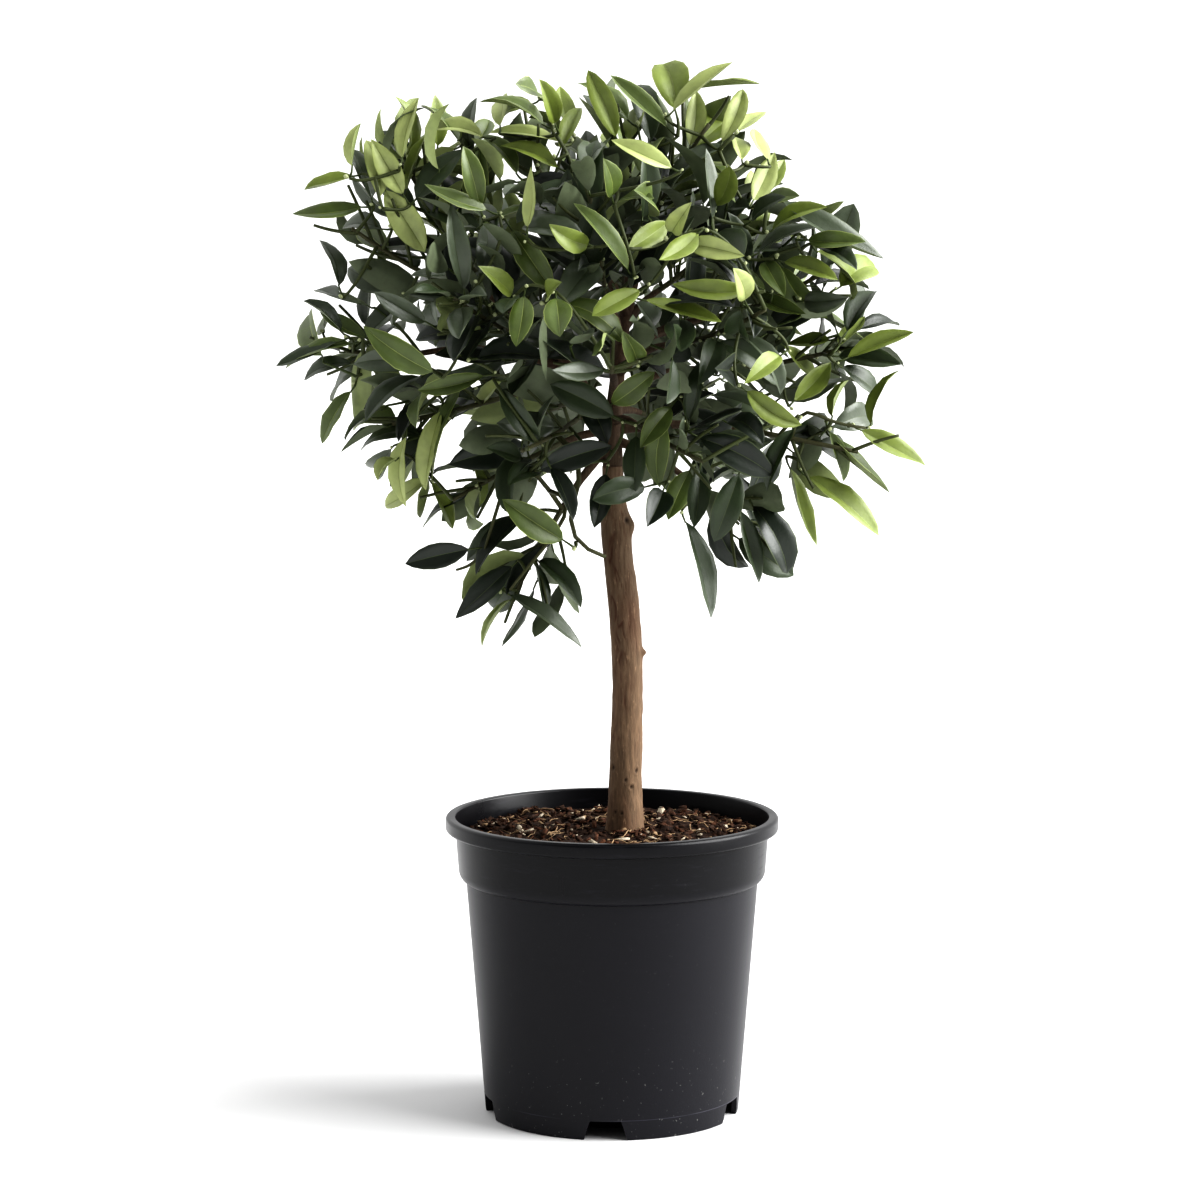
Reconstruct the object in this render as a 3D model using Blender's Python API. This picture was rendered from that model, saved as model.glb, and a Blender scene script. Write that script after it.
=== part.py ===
"""Kumquat tree grown as a small standard: one clean stem, a round head of leaves, a nursery pot.

Metres, +Z up. The origin is the middle of the pot's flat underside. +X is the tree's right side
and -Y its front. The pot, the potting mix, the trunk, every bough and every mass of leaves are
separate closed solids. Each mass keeps to its own space in the head, so no two of them meet.
"""

import math
import random

import bmesh
import bpy
from mathutils import Matrix, Vector
from mathutils.bvhtree import BVHTree

# Gaps between neighbours
GAP = 0.0003
LEAF_CLEARANCE = 0.0009
NEARLY_PARALLEL = 0.001

# Pot
POT_HEIGHT = 0.1893
RIM_RADIUS = 0.105
RIM_WIDTH = 0.0062
RIM_DEPTH = 0.0092
COLLAR_TOP_RADIUS = 0.0987
COLLAR_FOOT_RADIUS = 0.0970
COLLAR_FOOT_HEIGHT = 0.1562
STEP_HEIGHT = 0.1490
STEP_RADIUS = 0.0922
FOOT_RADIUS = 0.0803
POT_WALL = 0.0020
POT_SEGMENTS = 38
LIP_ROUND = 0.0022
FLANGE_ROUND = 0.0020
FLANGE_CREASE = 0.0010
EDGE_BREAK = 0.0012
STEP_TURNS = (15.0, 50.0, 90.0)

# Underside: a flat middle, a raised drainage channel round it and a foot ring with notches
PAD_RADIUS = 0.050
CHANNEL_HEIGHT = 0.0135
FOOT_WIDTH = 0.0034
NOTCH_COUNT = 5
NOTCH_TURN = math.radians(-93.0)
NOTCH_HEIGHT = 0.0121
NOTCH_FOOT_WIDTH = 0.0269
NOTCH_TOP_WIDTH = 0.0193
NOTCH_OVERRUN = 0.012
NOTCH_UNDERRUN = 0.004

# Potting mix
SOIL_MIDDLE_HEIGHT = 0.1805
SOIL_EDGE_HEIGHT = 0.1775
SOIL_SLOPE = ((0.075, 0.1785), (0.045, 0.1797), (0.020, SOIL_MIDDLE_HEIGHT))
SOIL_SLACK = 0.0006
SOIL_SEGMENTS = 19

# Trunk: height, sideways lean and radius, from the cut at soil level to the fork
TRUNK_STATIONS = (
    (0.0000, 0.0077, 0.0122),
    (0.0080, 0.0079, 0.0114),
    (0.0310, 0.0084, 0.0103),
    (0.0820, 0.0099, 0.0096),
    (0.1130, 0.0094, 0.0097),
    (0.1380, 0.0077, 0.0096),
    (0.1580, 0.0054, 0.0094),
    (0.1830, 0.0026, 0.0094),
    (0.1950, 0.0020, 0.0092),
    (0.2050, 0.0012, 0.0074),
    (0.2260, 0.0004, 0.0067),
)
TRUNK_SIDES = 12
KNUCKLE = {"height": 0.192, "turn": -12.0, "length": 0.0105, "radius": 0.0056}
STUB = {"height": 0.112, "turn": -8.0, "length": 0.0112, "radius": 0.0022}
GROWTH_SIDES = 7
GROWTH_SLOPE = 0.35
GROWTH_FLARE = 1.3

# Main boughs above the fork: azimuth, reach and height of the tip, and the radii at both ends
MAIN_BOUGHS = {
    "leader": {"turn": 10.0, "reach": 0.016, "height": 0.535, "radii": (0.0062, 0.0026)},
    "left_fork": {"turn": 178.0, "reach": 0.070, "height": 0.515, "radii": (0.0052, 0.0024)},
}
SIDE_BOUGH_RADII = (0.0032, 0.0017)
BOUGH_SIDES = 6
BOUGH_STEPS = 3
BOUGH_LIFT = 0.16
HANGING_LIFT = 0.10
FORK_DROP = 0.004
FORK_BEND = 0.45
FIRST_BRANCH = 0.16
LAST_BRANCH = 0.82
SHORTEST_BOUGH = 0.30
LONGEST_BOUGH = 0.90
BOUGH_CUT = 0.02
ENTRY_DEPTH = 0.008

# Masses of leaves: azimuth from +X, reach of the tip from the axis, height of the tip and size
MASSES = {
    "top": (10, 0.014, 0.658, 0.062, "leader"),
    "top_left": (196, 0.072, 0.650, 0.060, "leader"),
    "top_right": (-14, 0.080, 0.658, 0.060, "leader"),
    "upper_left": (176, 0.152, 0.630, 0.064, "left_fork"),
    "upper_right": (14, 0.120, 0.606, 0.060, "leader"),
    "left_high": (184, 0.198, 0.577, 0.064, "left_fork"),
    "left": (176, 0.208, 0.482, 0.062, "left_fork"),
    "left_low": (188, 0.178, 0.428, 0.062, "left_fork"),
    "low_left": (200, 0.142, 0.374, 0.058, "left_fork"),
    "right_high": (-14, 0.176, 0.548, 0.062, "leader"),
    "right": (6, 0.189, 0.489, 0.058, "leader"),
    "right_low": (-6, 0.194, 0.412, 0.054, "leader"),
    "low_right": (-26, 0.134, 0.348, 0.050, "leader"),
    "hanging_left": (206, 0.088, 0.300, 0.050, "left_fork"),
    "front_high": (262, 0.135, 0.605, 0.066, "leader"),
    "front_left": (230, 0.180, 0.530, 0.066, "left_fork"),
    "front_middle": (270, 0.182, 0.482, 0.058, "leader"),
    "front_right": (310, 0.180, 0.522, 0.066, "leader"),
    "front_low_left": (244, 0.160, 0.420, 0.062, "left_fork"),
    "front_low_right": (298, 0.155, 0.412, 0.062, "leader"),
    "back_high": (84, 0.138, 0.605, 0.066, "leader"),
    "back_left": (130, 0.180, 0.540, 0.066, "left_fork"),
    "back_middle": (90, 0.184, 0.490, 0.058, "leader"),
    "back_right": (50, 0.180, 0.530, 0.066, "leader"),
    "back_low_left": (122, 0.160, 0.420, 0.062, "left_fork"),
    "back_low_right": (58, 0.158, 0.412, 0.062, "leader"),
}
HEAD_HEART = Vector((-0.004, 0.0, 0.485))
SPACE_MARGIN = 0.0005
SPACE_REACH = 1.12

# Growth rule of a mass
FIRST_SEED = 1100
STEM_RADII = (0.0017, 0.0012)
STEM_BEND = 0.4
STEM_SHORTFALL = 0.0417
STEM_STEPS = 2
TWIG_SIDES = 3
TWIG_RADII = (0.0013, 0.0009)
TWIG_GAP = 0.0125
TWIG_COUNTS = (4, 6)
TWIG_FIRST = 0.06
TWIG_LAST = 0.86
TWIG_ANGLE_FOOT = math.radians(78.0)
TWIG_ANGLE_TIP = math.radians(38.0)
TWIG_LENGTH = 0.050
TWIG_SPREAD = (0.85, 1.15)
TWIG_SHORTEST = 0.016
TWIG_END_DEPTH = 0.008
TWIG_TRIES = 8
TWIG_TURN = 0.5
TWIG_CUT = 0.85
GOLDEN_ANGLE = math.radians(137.5)
LEAF_ANGLES = (math.radians(40.0), math.radians(85.0))
END_LEAF_LEAN = 0.4
LEAF_PLACES = (0.92, 0.7, 0.45, 0.2)
LEAF_PAIR_STEP = 0.1
LEAF_TRIES = 14
LEAF_TURN = 0.3
LEAF_TILT = 0.5
OUTWARD_PULL = 0.1
FACE_OUTWARD = 0.9
FACE_UPWARD = 0.6
LEAF_ROOM = 0.0152
FREE_BONUS = -0.10
DROOP_FROM = 0.36
DROOP_TO = 0.62
DROOP_LOW = -0.45
DROOP_HIGH = 0.15

# Leaf: its outline is a share of the length and of the width, on either side
LEAF_LENGTH = (0.049, 0.061)
LEAF_WIDTH = 0.44
LEAF_OUTLINE = ((0.30, 1.0), (0.68, 0.82))
LEAF_FOLD = 0.034
LEAF_ROOT_DEPTH = 0.0002
BLADE_FOOT = 0.005


# Materials and meshes


def plastic_black(name):
    return make_material(name, (0.020, 0.020, 0.023), 0.46)


def potting_mix(name):
    return make_material(name, (0.060, 0.032, 0.018), 0.95)


def bark(name):
    return make_material(name, (0.150, 0.078, 0.045), 0.85)


def leaf_green(name):
    return make_material(name, (0.045, 0.085, 0.022), 0.42)


def make_material(name, colour, roughness):
    material = bpy.data.materials.new(name)
    material.use_nodes = True
    shader = material.node_tree.nodes["Principled BSDF"]
    shader.inputs["Base Color"].default_value = (*colour, 1.0)
    shader.inputs["Roughness"].default_value = roughness
    shader.inputs["Metallic"].default_value = 0.0
    return material


def make_object(name, mesh, material=None):
    obj = bpy.data.objects.new(name, mesh)
    bpy.context.scene.collection.objects.link(obj)
    if material:
        mesh.materials.append(material)
    return obj


def mesh_from(name, corners, faces):
    mesh = bpy.data.meshes.new(name)
    mesh.from_pydata([tuple(corner) for corner in corners], [], faces)
    mesh.update()
    return mesh


def smooth_round(obj, angle=40.0):
    obj.data.shade_smooth()
    obj.data.set_sharp_from_angle(angle=math.radians(angle))


def delete(obj):
    mesh = obj.data
    bpy.data.objects.remove(obj)
    bpy.data.meshes.remove(mesh)


def apply_boolean(obj, operation, operand, solver="EXACT"):
    """Joins or cuts obj by an object or a collection, keeps the result as its mesh."""
    modifier = obj.modifiers.new("join", "BOOLEAN")
    modifier.operation = operation
    modifier.solver = solver
    if isinstance(operand, bpy.types.Collection):
        modifier.operand_type = "COLLECTION"
        modifier.collection = operand
    else:
        modifier.object = operand
    bpy.context.view_layer.update()
    evaluated = obj.evaluated_get(bpy.context.evaluated_depsgraph_get())
    result = bpy.data.meshes.new_from_object(evaluated)
    obj.modifiers.remove(modifier)
    spent = obj.data
    result.name = spent.name
    obj.data = result
    bpy.data.meshes.remove(spent)


def is_sound(obj):
    """True for one closed shell whose faces point outwards."""
    mesh = bmesh.new()
    mesh.from_mesh(obj.data)
    sound = all(edge.is_manifold for edge in mesh.edges)
    sound = sound and all(vert.is_manifold for vert in mesh.verts)
    sound = sound and mesh.calc_volume(signed=True) > 0.0
    mesh.free()
    return sound


def shell_of(seed):
    """Every face that is joined to one face across edges."""
    shell = {seed}
    front = [seed]
    while front:
        face = front.pop()
        for edge in face.edges:
            for other in edge.link_faces:
                if other not in shell:
                    shell.add(other)
                    front.append(other)
    return shell


def keep_largest_shell(obj):
    """Drops loose scraps and fills sealed hollows: only the shell with the most faces stays."""
    mesh = bmesh.new()
    mesh.from_mesh(obj.data)
    waiting = list(mesh.faces)
    shells = []
    while waiting:
        shell = shell_of(waiting[0])
        waiting = [face for face in waiting if face not in shell]
        shells.append(shell)
    shells.sort(key=len)
    scraps = [face for shell in shells[:-1] for face in shell]
    bmesh.ops.delete(mesh, geom=scraps, context="FACES")
    bmesh.ops.dissolve_degenerate(mesh, dist=1e-7, edges=mesh.edges)
    bmesh.ops.triangulate(mesh, faces=mesh.faces)
    mesh.to_mesh(obj.data)
    mesh.free()


# Turned pieces


def arc(middle_radius, middle_height, radius, start, end, steps):
    """Points of a round corner on a turned outline, from one angle in degrees to another."""
    points = []
    for step in range(steps + 1):
        angle = math.radians(start + (end - start) * step / steps)
        points.append(
            (middle_radius + radius * math.cos(angle), middle_height + radius * math.sin(angle))
        )
    return points


def turned(name, outline, segments, material):
    """One closed body: an outline of radius and height, from axis to axis, spun round Z."""
    mesh = bmesh.new()
    verts = [mesh.verts.new((radius, 0.0, height)) for radius, height in outline]
    edges = [mesh.edges.new(pair) for pair in zip(verts, verts[1:])]
    bmesh.ops.spin(
        mesh,
        geom=verts + edges,
        cent=(0.0, 0.0, 0.0),
        axis=(0.0, 0.0, 1.0),
        angle=math.tau,
        steps=segments,
        use_duplicate=False,
    )
    bmesh.ops.remove_doubles(mesh, verts=mesh.verts, dist=1e-6)
    bmesh.ops.recalc_face_normals(mesh, faces=mesh.faces)
    data = bpy.data.meshes.new(name)
    mesh.to_mesh(data)
    mesh.free()
    obj = make_object(name, data, material)
    smooth_round(obj, 35.0)
    return obj


def wall_radius(height):
    """Outer radius of the pot's tapering wall below its step."""
    return FOOT_RADIUS + (STEP_RADIUS - FOOT_RADIUS) * height / STEP_HEIGHT


def inner_outline():
    """The pot's inside from its middle outwards and up to the lip: radius and height."""
    roof = CHANNEL_HEIGHT + POT_WALL
    lip_radius = RIM_RADIUS - RIM_WIDTH
    return [
        (0.0, POT_WALL),
        (PAD_RADIUS - POT_WALL, POT_WALL),
        (PAD_RADIUS, roof),
        (wall_radius(roof) - POT_WALL, roof),
        (wall_radius(STEP_HEIGHT) - POT_WALL, STEP_HEIGHT - POT_WALL),
        (COLLAR_FOOT_RADIUS - POT_WALL, COLLAR_FOOT_HEIGHT),
        (lip_radius - POT_WALL / 2, POT_HEIGHT - RIM_DEPTH),
        (lip_radius, POT_HEIGHT - EDGE_BREAK),
        (lip_radius + EDGE_BREAK, POT_HEIGHT),
    ]


def pot_outline():
    underside = [
        (0.0, 0.0),
        (PAD_RADIUS, 0.0),
        (PAD_RADIUS + POT_WALL, CHANNEL_HEIGHT),
        (wall_radius(CHANNEL_HEIGHT) - FOOT_WIDTH, CHANNEL_HEIGHT),
        (FOOT_RADIUS - FOOT_WIDTH, 0.0),
        (FOOT_RADIUS - EDGE_BREAK, 0.0),
        (FOOT_RADIUS, EDGE_BREAK),
    ]
    bend = COLLAR_FOOT_HEIGHT - STEP_HEIGHT
    overhang = COLLAR_FOOT_RADIUS - STEP_RADIUS
    step = [
        (STEP_RADIUS + overhang * math.sin(turn), COLLAR_FOOT_HEIGHT - bend * math.cos(turn))
        for turn in map(math.radians, STEP_TURNS)
    ]
    wall = [(wall_radius(STEP_HEIGHT), STEP_HEIGHT)]
    flange_height = POT_HEIGHT - RIM_DEPTH
    collar = [(COLLAR_TOP_RADIUS, flange_height - FLANGE_CREASE)]
    flange_foot = arc(RIM_RADIUS - FLANGE_ROUND, flange_height + FLANGE_ROUND, FLANGE_ROUND, -90, 0, 2)
    flange_top = arc(RIM_RADIUS - LIP_ROUND, POT_HEIGHT - LIP_ROUND, LIP_ROUND, 0, 90, 2)
    return underside + wall + step + collar + flange_foot + flange_top + inner_outline()[::-1]


def notch_cutters():
    """Wedges for the notches in the foot ring, each narrower at its top, as one guide mesh."""
    mesh = bmesh.new()
    near = PAD_RADIUS + NOTCH_OVERRUN
    far = FOOT_RADIUS + NOTCH_OVERRUN
    for count in range(NOTCH_COUNT):
        turn = Matrix.Rotation(NOTCH_TURN + math.tau * count / NOTCH_COUNT, 3, "Z")
        ends = []
        for radius in (near, far):
            corners = (
                (radius, -NOTCH_FOOT_WIDTH / 2, -NOTCH_UNDERRUN),
                (radius, NOTCH_FOOT_WIDTH / 2, -NOTCH_UNDERRUN),
                (radius, NOTCH_TOP_WIDTH / 2, NOTCH_HEIGHT),
                (radius, -NOTCH_TOP_WIDTH / 2, NOTCH_HEIGHT),
            )
            ends.append([mesh.verts.new(turn @ Vector(corner)) for corner in corners])
        mesh.faces.new(ends[0][::-1])
        mesh.faces.new(ends[1])
        for side in range(4):
            after = (side + 1) % 4
            mesh.faces.new((ends[0][side], ends[0][after], ends[1][after], ends[1][side]))
    bmesh.ops.recalc_face_normals(mesh, faces=mesh.faces)
    data = bpy.data.meshes.new("notch_cutters")
    mesh.to_mesh(data)
    mesh.free()
    guide = make_object("notch_cutters", data)
    guide.hide_render = True
    guide.display_type = "WIRE"
    return guide


def make_pot():
    pot = turned("pot", pot_outline(), POT_SEGMENTS, plastic_black("pot_plastic"))
    notches = pot.modifiers.new("drainage notches", "BOOLEAN")
    notches.operation = "DIFFERENCE"
    notches.object = notch_cutters()


def make_soil():
    """The filling: it follows the pot's inside with a gap and domes a little to the trunk."""
    floor = POT_WALL + GAP
    roof = CHANNEL_HEIGHT + POT_WALL + GAP
    shoulder = STEP_HEIGHT - POT_WALL - SOIL_SLACK
    top_radius = COLLAR_FOOT_RADIUS - POT_WALL - SOIL_SLACK
    outline = [
        (0.0, floor),
        (PAD_RADIUS - POT_WALL - SOIL_SLACK, floor),
        (PAD_RADIUS - SOIL_SLACK, roof),
        (wall_radius(roof) - POT_WALL - SOIL_SLACK, roof),
        (wall_radius(STEP_HEIGHT) - POT_WALL - SOIL_SLACK, shoulder),
        (top_radius, COLLAR_FOOT_HEIGHT),
        (top_radius, SOIL_EDGE_HEIGHT),
        *SOIL_SLOPE,
        (0.0, SOIL_MIDDLE_HEIGHT),
    ]
    turned("potting_mix", outline, SOIL_SEGMENTS, potting_mix("potting_mix"))


# Limbs


def side_frame(direction, hint=Vector((0.0, 0.0, 1.0))):
    """Two unit vectors square to a direction, the first one as near to the hint as can be."""
    across = hint - direction * hint.dot(direction)
    if across.length < NEARLY_PARALLEL:
        across = Vector((1.0, 0.0, 0.0)) - direction * direction.x
    across.normalize()
    return across, direction.cross(across)


def tube(points, radii, sides):
    """Corners and faces of a tapering limb with flat ends: rings square to its path."""
    corners = []
    hint = Vector((0.0, 1.0, 0.0))
    for index, (point, radius) in enumerate(zip(points, radii)):
        before = points[max(index - 1, 0)]
        after = points[min(index + 1, len(points) - 1)]
        direction = (after - before).normalized()
        across, up = side_frame(direction, hint)
        hint = across
        for side in range(sides):
            angle = math.tau * side / sides
            corners.append(point + across * radius * math.cos(angle) + up * radius * math.sin(angle))
    faces = [tuple(range(sides))[::-1]]
    for ring in range(len(points) - 1):
        for side in range(sides):
            after = (side + 1) % sides
            low = ring * sides
            high = low + sides
            faces.append((low + side, low + after, high + after, high + side))
    last = (len(points) - 1) * sides
    faces.append(tuple(range(last, last + sides)))
    return corners, faces


def make_limb(name, points, radii, sides, material):
    obj = make_object(name, mesh_from(name, *tube(points, radii, sides)), material)
    smooth_round(obj)
    return obj


def trunk_path():
    """The trunk's middle line and radii, from the cut at soil level to the fork."""
    foot = SOIL_MIDDLE_HEIGHT + GAP
    points = [Vector((lean, 0.0, foot + height)) for height, lean, _ in TRUNK_STATIONS]
    return points, [radius for _, _, radius in TRUNK_STATIONS]


def make_trunk():
    points, radii = trunk_path()
    trunk = make_limb("trunk", points, radii, TRUNK_SIDES, bark("trunk_bark"))
    foot = points[0]
    growths = bpy.data.collections.new("growths")
    for growth in (KNUCKLE, STUB):
        height = foot.z + growth["height"]
        middle = min(points, key=lambda point: abs(point.z - height)).copy()
        middle.z = height
        heading = polar(growth["turn"], 1.0, GROWTH_SLOPE).normalized()
        tip = middle + heading * growth["length"]
        widths = (growth["radius"] * GROWTH_FLARE, growth["radius"])
        mesh = mesh_from("growth", *tube([middle, tip], widths, GROWTH_SIDES))
        growths.objects.link(bpy.data.objects.new("growth", mesh))
    bpy.context.scene.collection.children.link(growths)
    apply_boolean(trunk, "UNION", growths)
    clear_collection(growths)
    smooth_round(trunk)


def clear_collection(collection):
    for obj in list(collection.objects):
        delete(obj)
    bpy.data.collections.remove(collection)


def polar(turn, reach, height):
    angle = math.radians(turn)
    return Vector((reach * math.cos(angle), reach * math.sin(angle), height))


def curve_between(start, bend, end, steps):
    """Points along the parabola from start to end that heads for bend first."""
    points = []
    for step in range(steps + 1):
        t = step / steps
        points.append(start * (1 - t) ** 2 + bend * 2 * t * (1 - t) + end * t * t)
    return points


def bent_path(start, end, lift, steps):
    """A limb's line from start to end, which rises by lift of its length in the middle."""
    middle = (start + end) / 2 + Vector((0.0, 0.0, lift * (end - start).length))
    return curve_between(start, middle, end, steps)


def tapered(radii, count):
    return [radii[0] + (radii[1] - radii[0]) * index / (count - 1) for index in range(count)]


def point_along(points, share):
    place = share * (len(points) - 1)
    index = min(int(place), len(points) - 2)
    return points[index].lerp(points[index + 1], place - index)


class Limbs:
    """Every limb so far: its path and radii, and the solids that keep others clear of it."""

    def __init__(self):
        self.paths = {}

    def add(self, name, points, radii):
        self.paths[name] = (points, radii)

    def cutter(self, name, swell):
        points, radii = self.paths[name]
        sides = TRUNK_SIDES if name == "trunk" else BOUGH_SIDES
        ends = (points[1] - points[0]).normalized(), (points[-1] - points[-2]).normalized()
        longer = [points[0] - ends[0] * swell, *points[1:-1], points[-1] + ends[1] * swell]
        return mesh_from("cutter", *tube(longer, [radius + swell for radius in radii], sides))

    def tree(self, names, swell):
        corners = []
        faces = []
        for name in names:
            mesh = self.cutter(name, swell)
            first = len(corners)
            corners.extend(vert.co.copy() for vert in mesh.vertices)
            faces.extend(tuple(first + index for index in face.vertices) for face in mesh.polygons)
            bpy.data.meshes.remove(mesh)
        return BVHTree.FromPolygons(corners, faces)


def make_bough(limbs, name, points, radii):
    """One limb, cut a hair clear of every earlier limb that it would touch."""
    corners, faces = tube(points, radii, BOUGH_SIDES)
    solid = BVHTree.FromPolygons(corners, faces)
    bough = make_limb(f"bough_{name}", points, radii, BOUGH_SIDES, bark(f"bark_{name}"))
    for other in limbs.paths:
        if not solid.overlap(limbs.tree([other], GAP)):
            continue
        guide = make_object("cutter", limbs.cutter(other, GAP))
        apply_boolean(bough, "DIFFERENCE", guide)
        delete(guide)
    keep_largest_shell(bough)
    smooth_round(bough)
    limbs.add(name, points, radii)


# Spaces of the masses


class Space:
    """A convex cell of the head, bounded by planes halfway to the neighbouring masses."""

    def __init__(self, name, middles, sizes):
        self.middle = middles[name]
        self.size = sizes[name]
        self.planes = []
        for other, middle in middles.items():
            if other == name:
                continue
            between = middle - self.middle
            share = (between.length_squared + self.size**2 - sizes[other] ** 2) / 2
            self.planes.append((between.normalized(), share / between.length))

    def depth(self, point):
        """How far a point lies inside the nearest wall of the cell."""
        offset = point - self.middle
        return min(limit - offset.dot(normal) for normal, limit in self.planes)

    def holds(self, points):
        for point in points:
            if self.depth(point) < SPACE_MARGIN:
                return False
            if (point - self.middle).length > self.size * SPACE_REACH:
                return False
        return True


def mass_tip(name):
    turn, reach, height, _, _ = MASSES[name]
    return polar(turn, reach, height)


def mass_middles():
    """The middle of each mass lies behind its tip, towards the heart of the head."""
    middles = {}
    sizes = {}
    for name, (_, _, _, size, _) in MASSES.items():
        tip = mass_tip(name)
        middles[name] = tip + (HEAD_HEART - tip).normalized() * size
        sizes[name] = size
    return middles, sizes


# Twigs and leaves


def leaf_corners(root, direction, normal, length):
    """Root, tip and two corners of each edge. The edges lie above the line from root to tip."""
    across = direction.cross(normal) * length * LEAF_WIDTH / 2
    lift = normal * length * LEAF_FOLD
    corners = [root, root + direction * length]
    for share, width in LEAF_OUTLINE:
        place = root + direction * length * share + lift
        corners += [place - across * width, place + across * width]
    return corners


# A keel from root to tip below, a flat face above
LEAF_FACES = [
    (0, 2, 1),
    (1, 2, 4),
    (0, 1, 3),
    (1, 5, 3),
    (0, 3, 2),
    (2, 5, 4),
    (2, 3, 5),
    (4, 5, 1),
]


class Mass:
    """One mass: a stem, twigs that leave it by the golden angle and leaves along each twig."""

    def __init__(self, name, space, start, heading, limbs, middles, seed):
        self.name = name
        self.space = space
        self.start = start
        self.heading = heading
        self.limb_tree = limbs.tree(list(limbs.paths), LEAF_CLEARANCE)
        self.leaf_middles = middles
        self.draw = random.Random(seed)
        self.tubes = []
        self.leaves = []
        self.tube_trees = []
        rise = (space.middle.z - DROOP_FROM) / (DROOP_TO - DROOP_FROM)
        self.droop = DROOP_LOW + (DROOP_HIGH - DROOP_LOW) * min(max(rise, 0.0), 1.0)

    def clear(self, corners, faces, against_leaves=True):
        tree = BVHTree.FromPolygons(corners, faces)
        if tree.overlap(self.limb_tree):
            return False
        if against_leaves:
            others = [leaf for leaf, _ in self.leaves] + self.tube_trees
            return not any(tree.overlap(other) for other in others)
        return True

    def grow(self):
        tip = mass_tip(self.name)
        lead = tip - self.start
        length = lead.length - STEM_SHORTFALL
        end = self.start + lead.normalized() * length
        bend = self.start + self.heading * length * STEM_BEND
        path = curve_between(self.start, bend, end, STEM_STEPS)
        self.add_tube(path, STEM_RADII, force=True)
        self.grow_leaf(point_along(path, LEAF_PLACES[0]), lead.normalized(), 0.0, True, tip)
        twigs = []
        turn = self.draw.uniform(0.0, math.tau)
        twig_count = min(max(round(length / TWIG_GAP), TWIG_COUNTS[0]), TWIG_COUNTS[1])
        for count in range(twig_count):
            share = TWIG_FIRST + (TWIG_LAST - TWIG_FIRST) * count / (twig_count - 1)
            turn += GOLDEN_ANGLE
            twig = self.grow_twig(path, share, turn)
            if twig:
                twigs.append(twig)
        for share in LEAF_PLACES:
            for twig in twigs:
                self.grow_leaves(twig, share, share == LEAF_PLACES[0])
            self.grow_leaves(path, share, False)

    def add_tube(self, path, radii, force=False):
        corners, faces = tube(path, tapered(radii, len(path)), TWIG_SIDES)
        if not force and (not self.space.holds(corners) or not self.clear(corners, faces, False)):
            return False
        self.tubes.append((corners, faces))
        self.tube_trees.append(BVHTree.FromPolygons(corners, faces))
        return True

    def grow_twig(self, stem, share, turn):
        """A side twig, as long as the space allows, that leaves the stem at a wide angle."""
        foot = point_along(stem, share)
        along = (point_along(stem, share + LEAF_PAIR_STEP) - foot).normalized()
        across, up = side_frame(along)
        lean = TWIG_ANGLE_FOOT + (TWIG_ANGLE_TIP - TWIG_ANGLE_FOOT) * share
        for attempt in range(TWIG_TRIES):
            angle = turn + TWIG_TURN * attempt
            side = across * math.cos(angle) + up * math.sin(angle)
            heading = along * math.cos(lean) + side * math.sin(lean)
            heading.normalize()
            length = TWIG_LENGTH * self.draw.uniform(*TWIG_SPREAD)
            while length > TWIG_SHORTEST:
                end = foot + heading * length
                path = [foot, end]
                deep = self.space.depth(end) > TWIG_END_DEPTH
                if deep and self.add_tube(path, TWIG_RADII):
                    return path
                length *= TWIG_CUT
        return None

    def grow_leaves(self, path, share, last):
        """Two leaves a node: the ones that reach the freest places, in turn."""
        point = point_along(path, share)
        after = point_along(path, min(share + LEAF_PAIR_STEP, 1.0))
        along = (after - point_along(path, share - LEAF_PAIR_STEP)).normalized()
        turn = self.draw.uniform(0.0, math.tau)
        if last:
            self.grow_leaf(point, along, turn, True, None)
        self.grow_leaf(point, along, turn + GOLDEN_ANGLE, False, None)
        if not last:
            self.grow_leaf(after, along, turn + 2 * GOLDEN_ANGLE, False, None)

    def grow_leaf(self, point, along, turn, last, tip):
        across, up = side_frame(along)
        outward = (point - HEAD_HEART).normalized()
        best = None
        for attempt in range(LEAF_TRIES):
            angle = turn + math.tau * attempt / LEAF_TRIES
            angle += self.draw.uniform(-LEAF_TURN, LEAF_TURN)
            side = across * math.cos(angle) + up * math.sin(angle)
            lean = self.draw.uniform(*LEAF_ANGLES)
            if last:
                lean *= END_LEAF_LEAN
            direction = along * math.cos(lean) + side * math.sin(lean)
            direction += Vector((0.0, 0.0, self.droop)) + outward * OUTWARD_PULL
            if tip is not None:
                direction = tip - point
            direction.normalize()
            length = self.draw.uniform(*LEAF_LENGTH)
            face = outward * FACE_OUTWARD + Vector((0.0, 0.0, FACE_UPWARD))
            face += Vector([self.draw.uniform(-LEAF_TILT, LEAF_TILT) for _ in range(3)])
            normal, _ = side_frame(direction, face)
            root = point - direction * LEAF_ROOT_DEPTH
            corners = leaf_corners(root, direction, normal, length)
            middle = (corners[2] + corners[5]) / 2
            room = min(((middle - other).length for other in self.leaf_middles), default=1.0)
            room += FREE_BONUS * self.space.depth(middle)
            if best and room <= best[0]:
                continue
            if room < LEAF_ROOM or not self.space.holds(corners[1:]):
                continue
            blade = [point + direction * BLADE_FOOT, *corners[1:]]
            if self.clear(blade, LEAF_FACES):
                best = (room, blade, corners, middle)
        if best:
            _, blade, corners, middle = best
            self.leaves.append((BVHTree.FromPolygons(blade, LEAF_FACES), corners))
            self.leaf_middles.append(middle)

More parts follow.
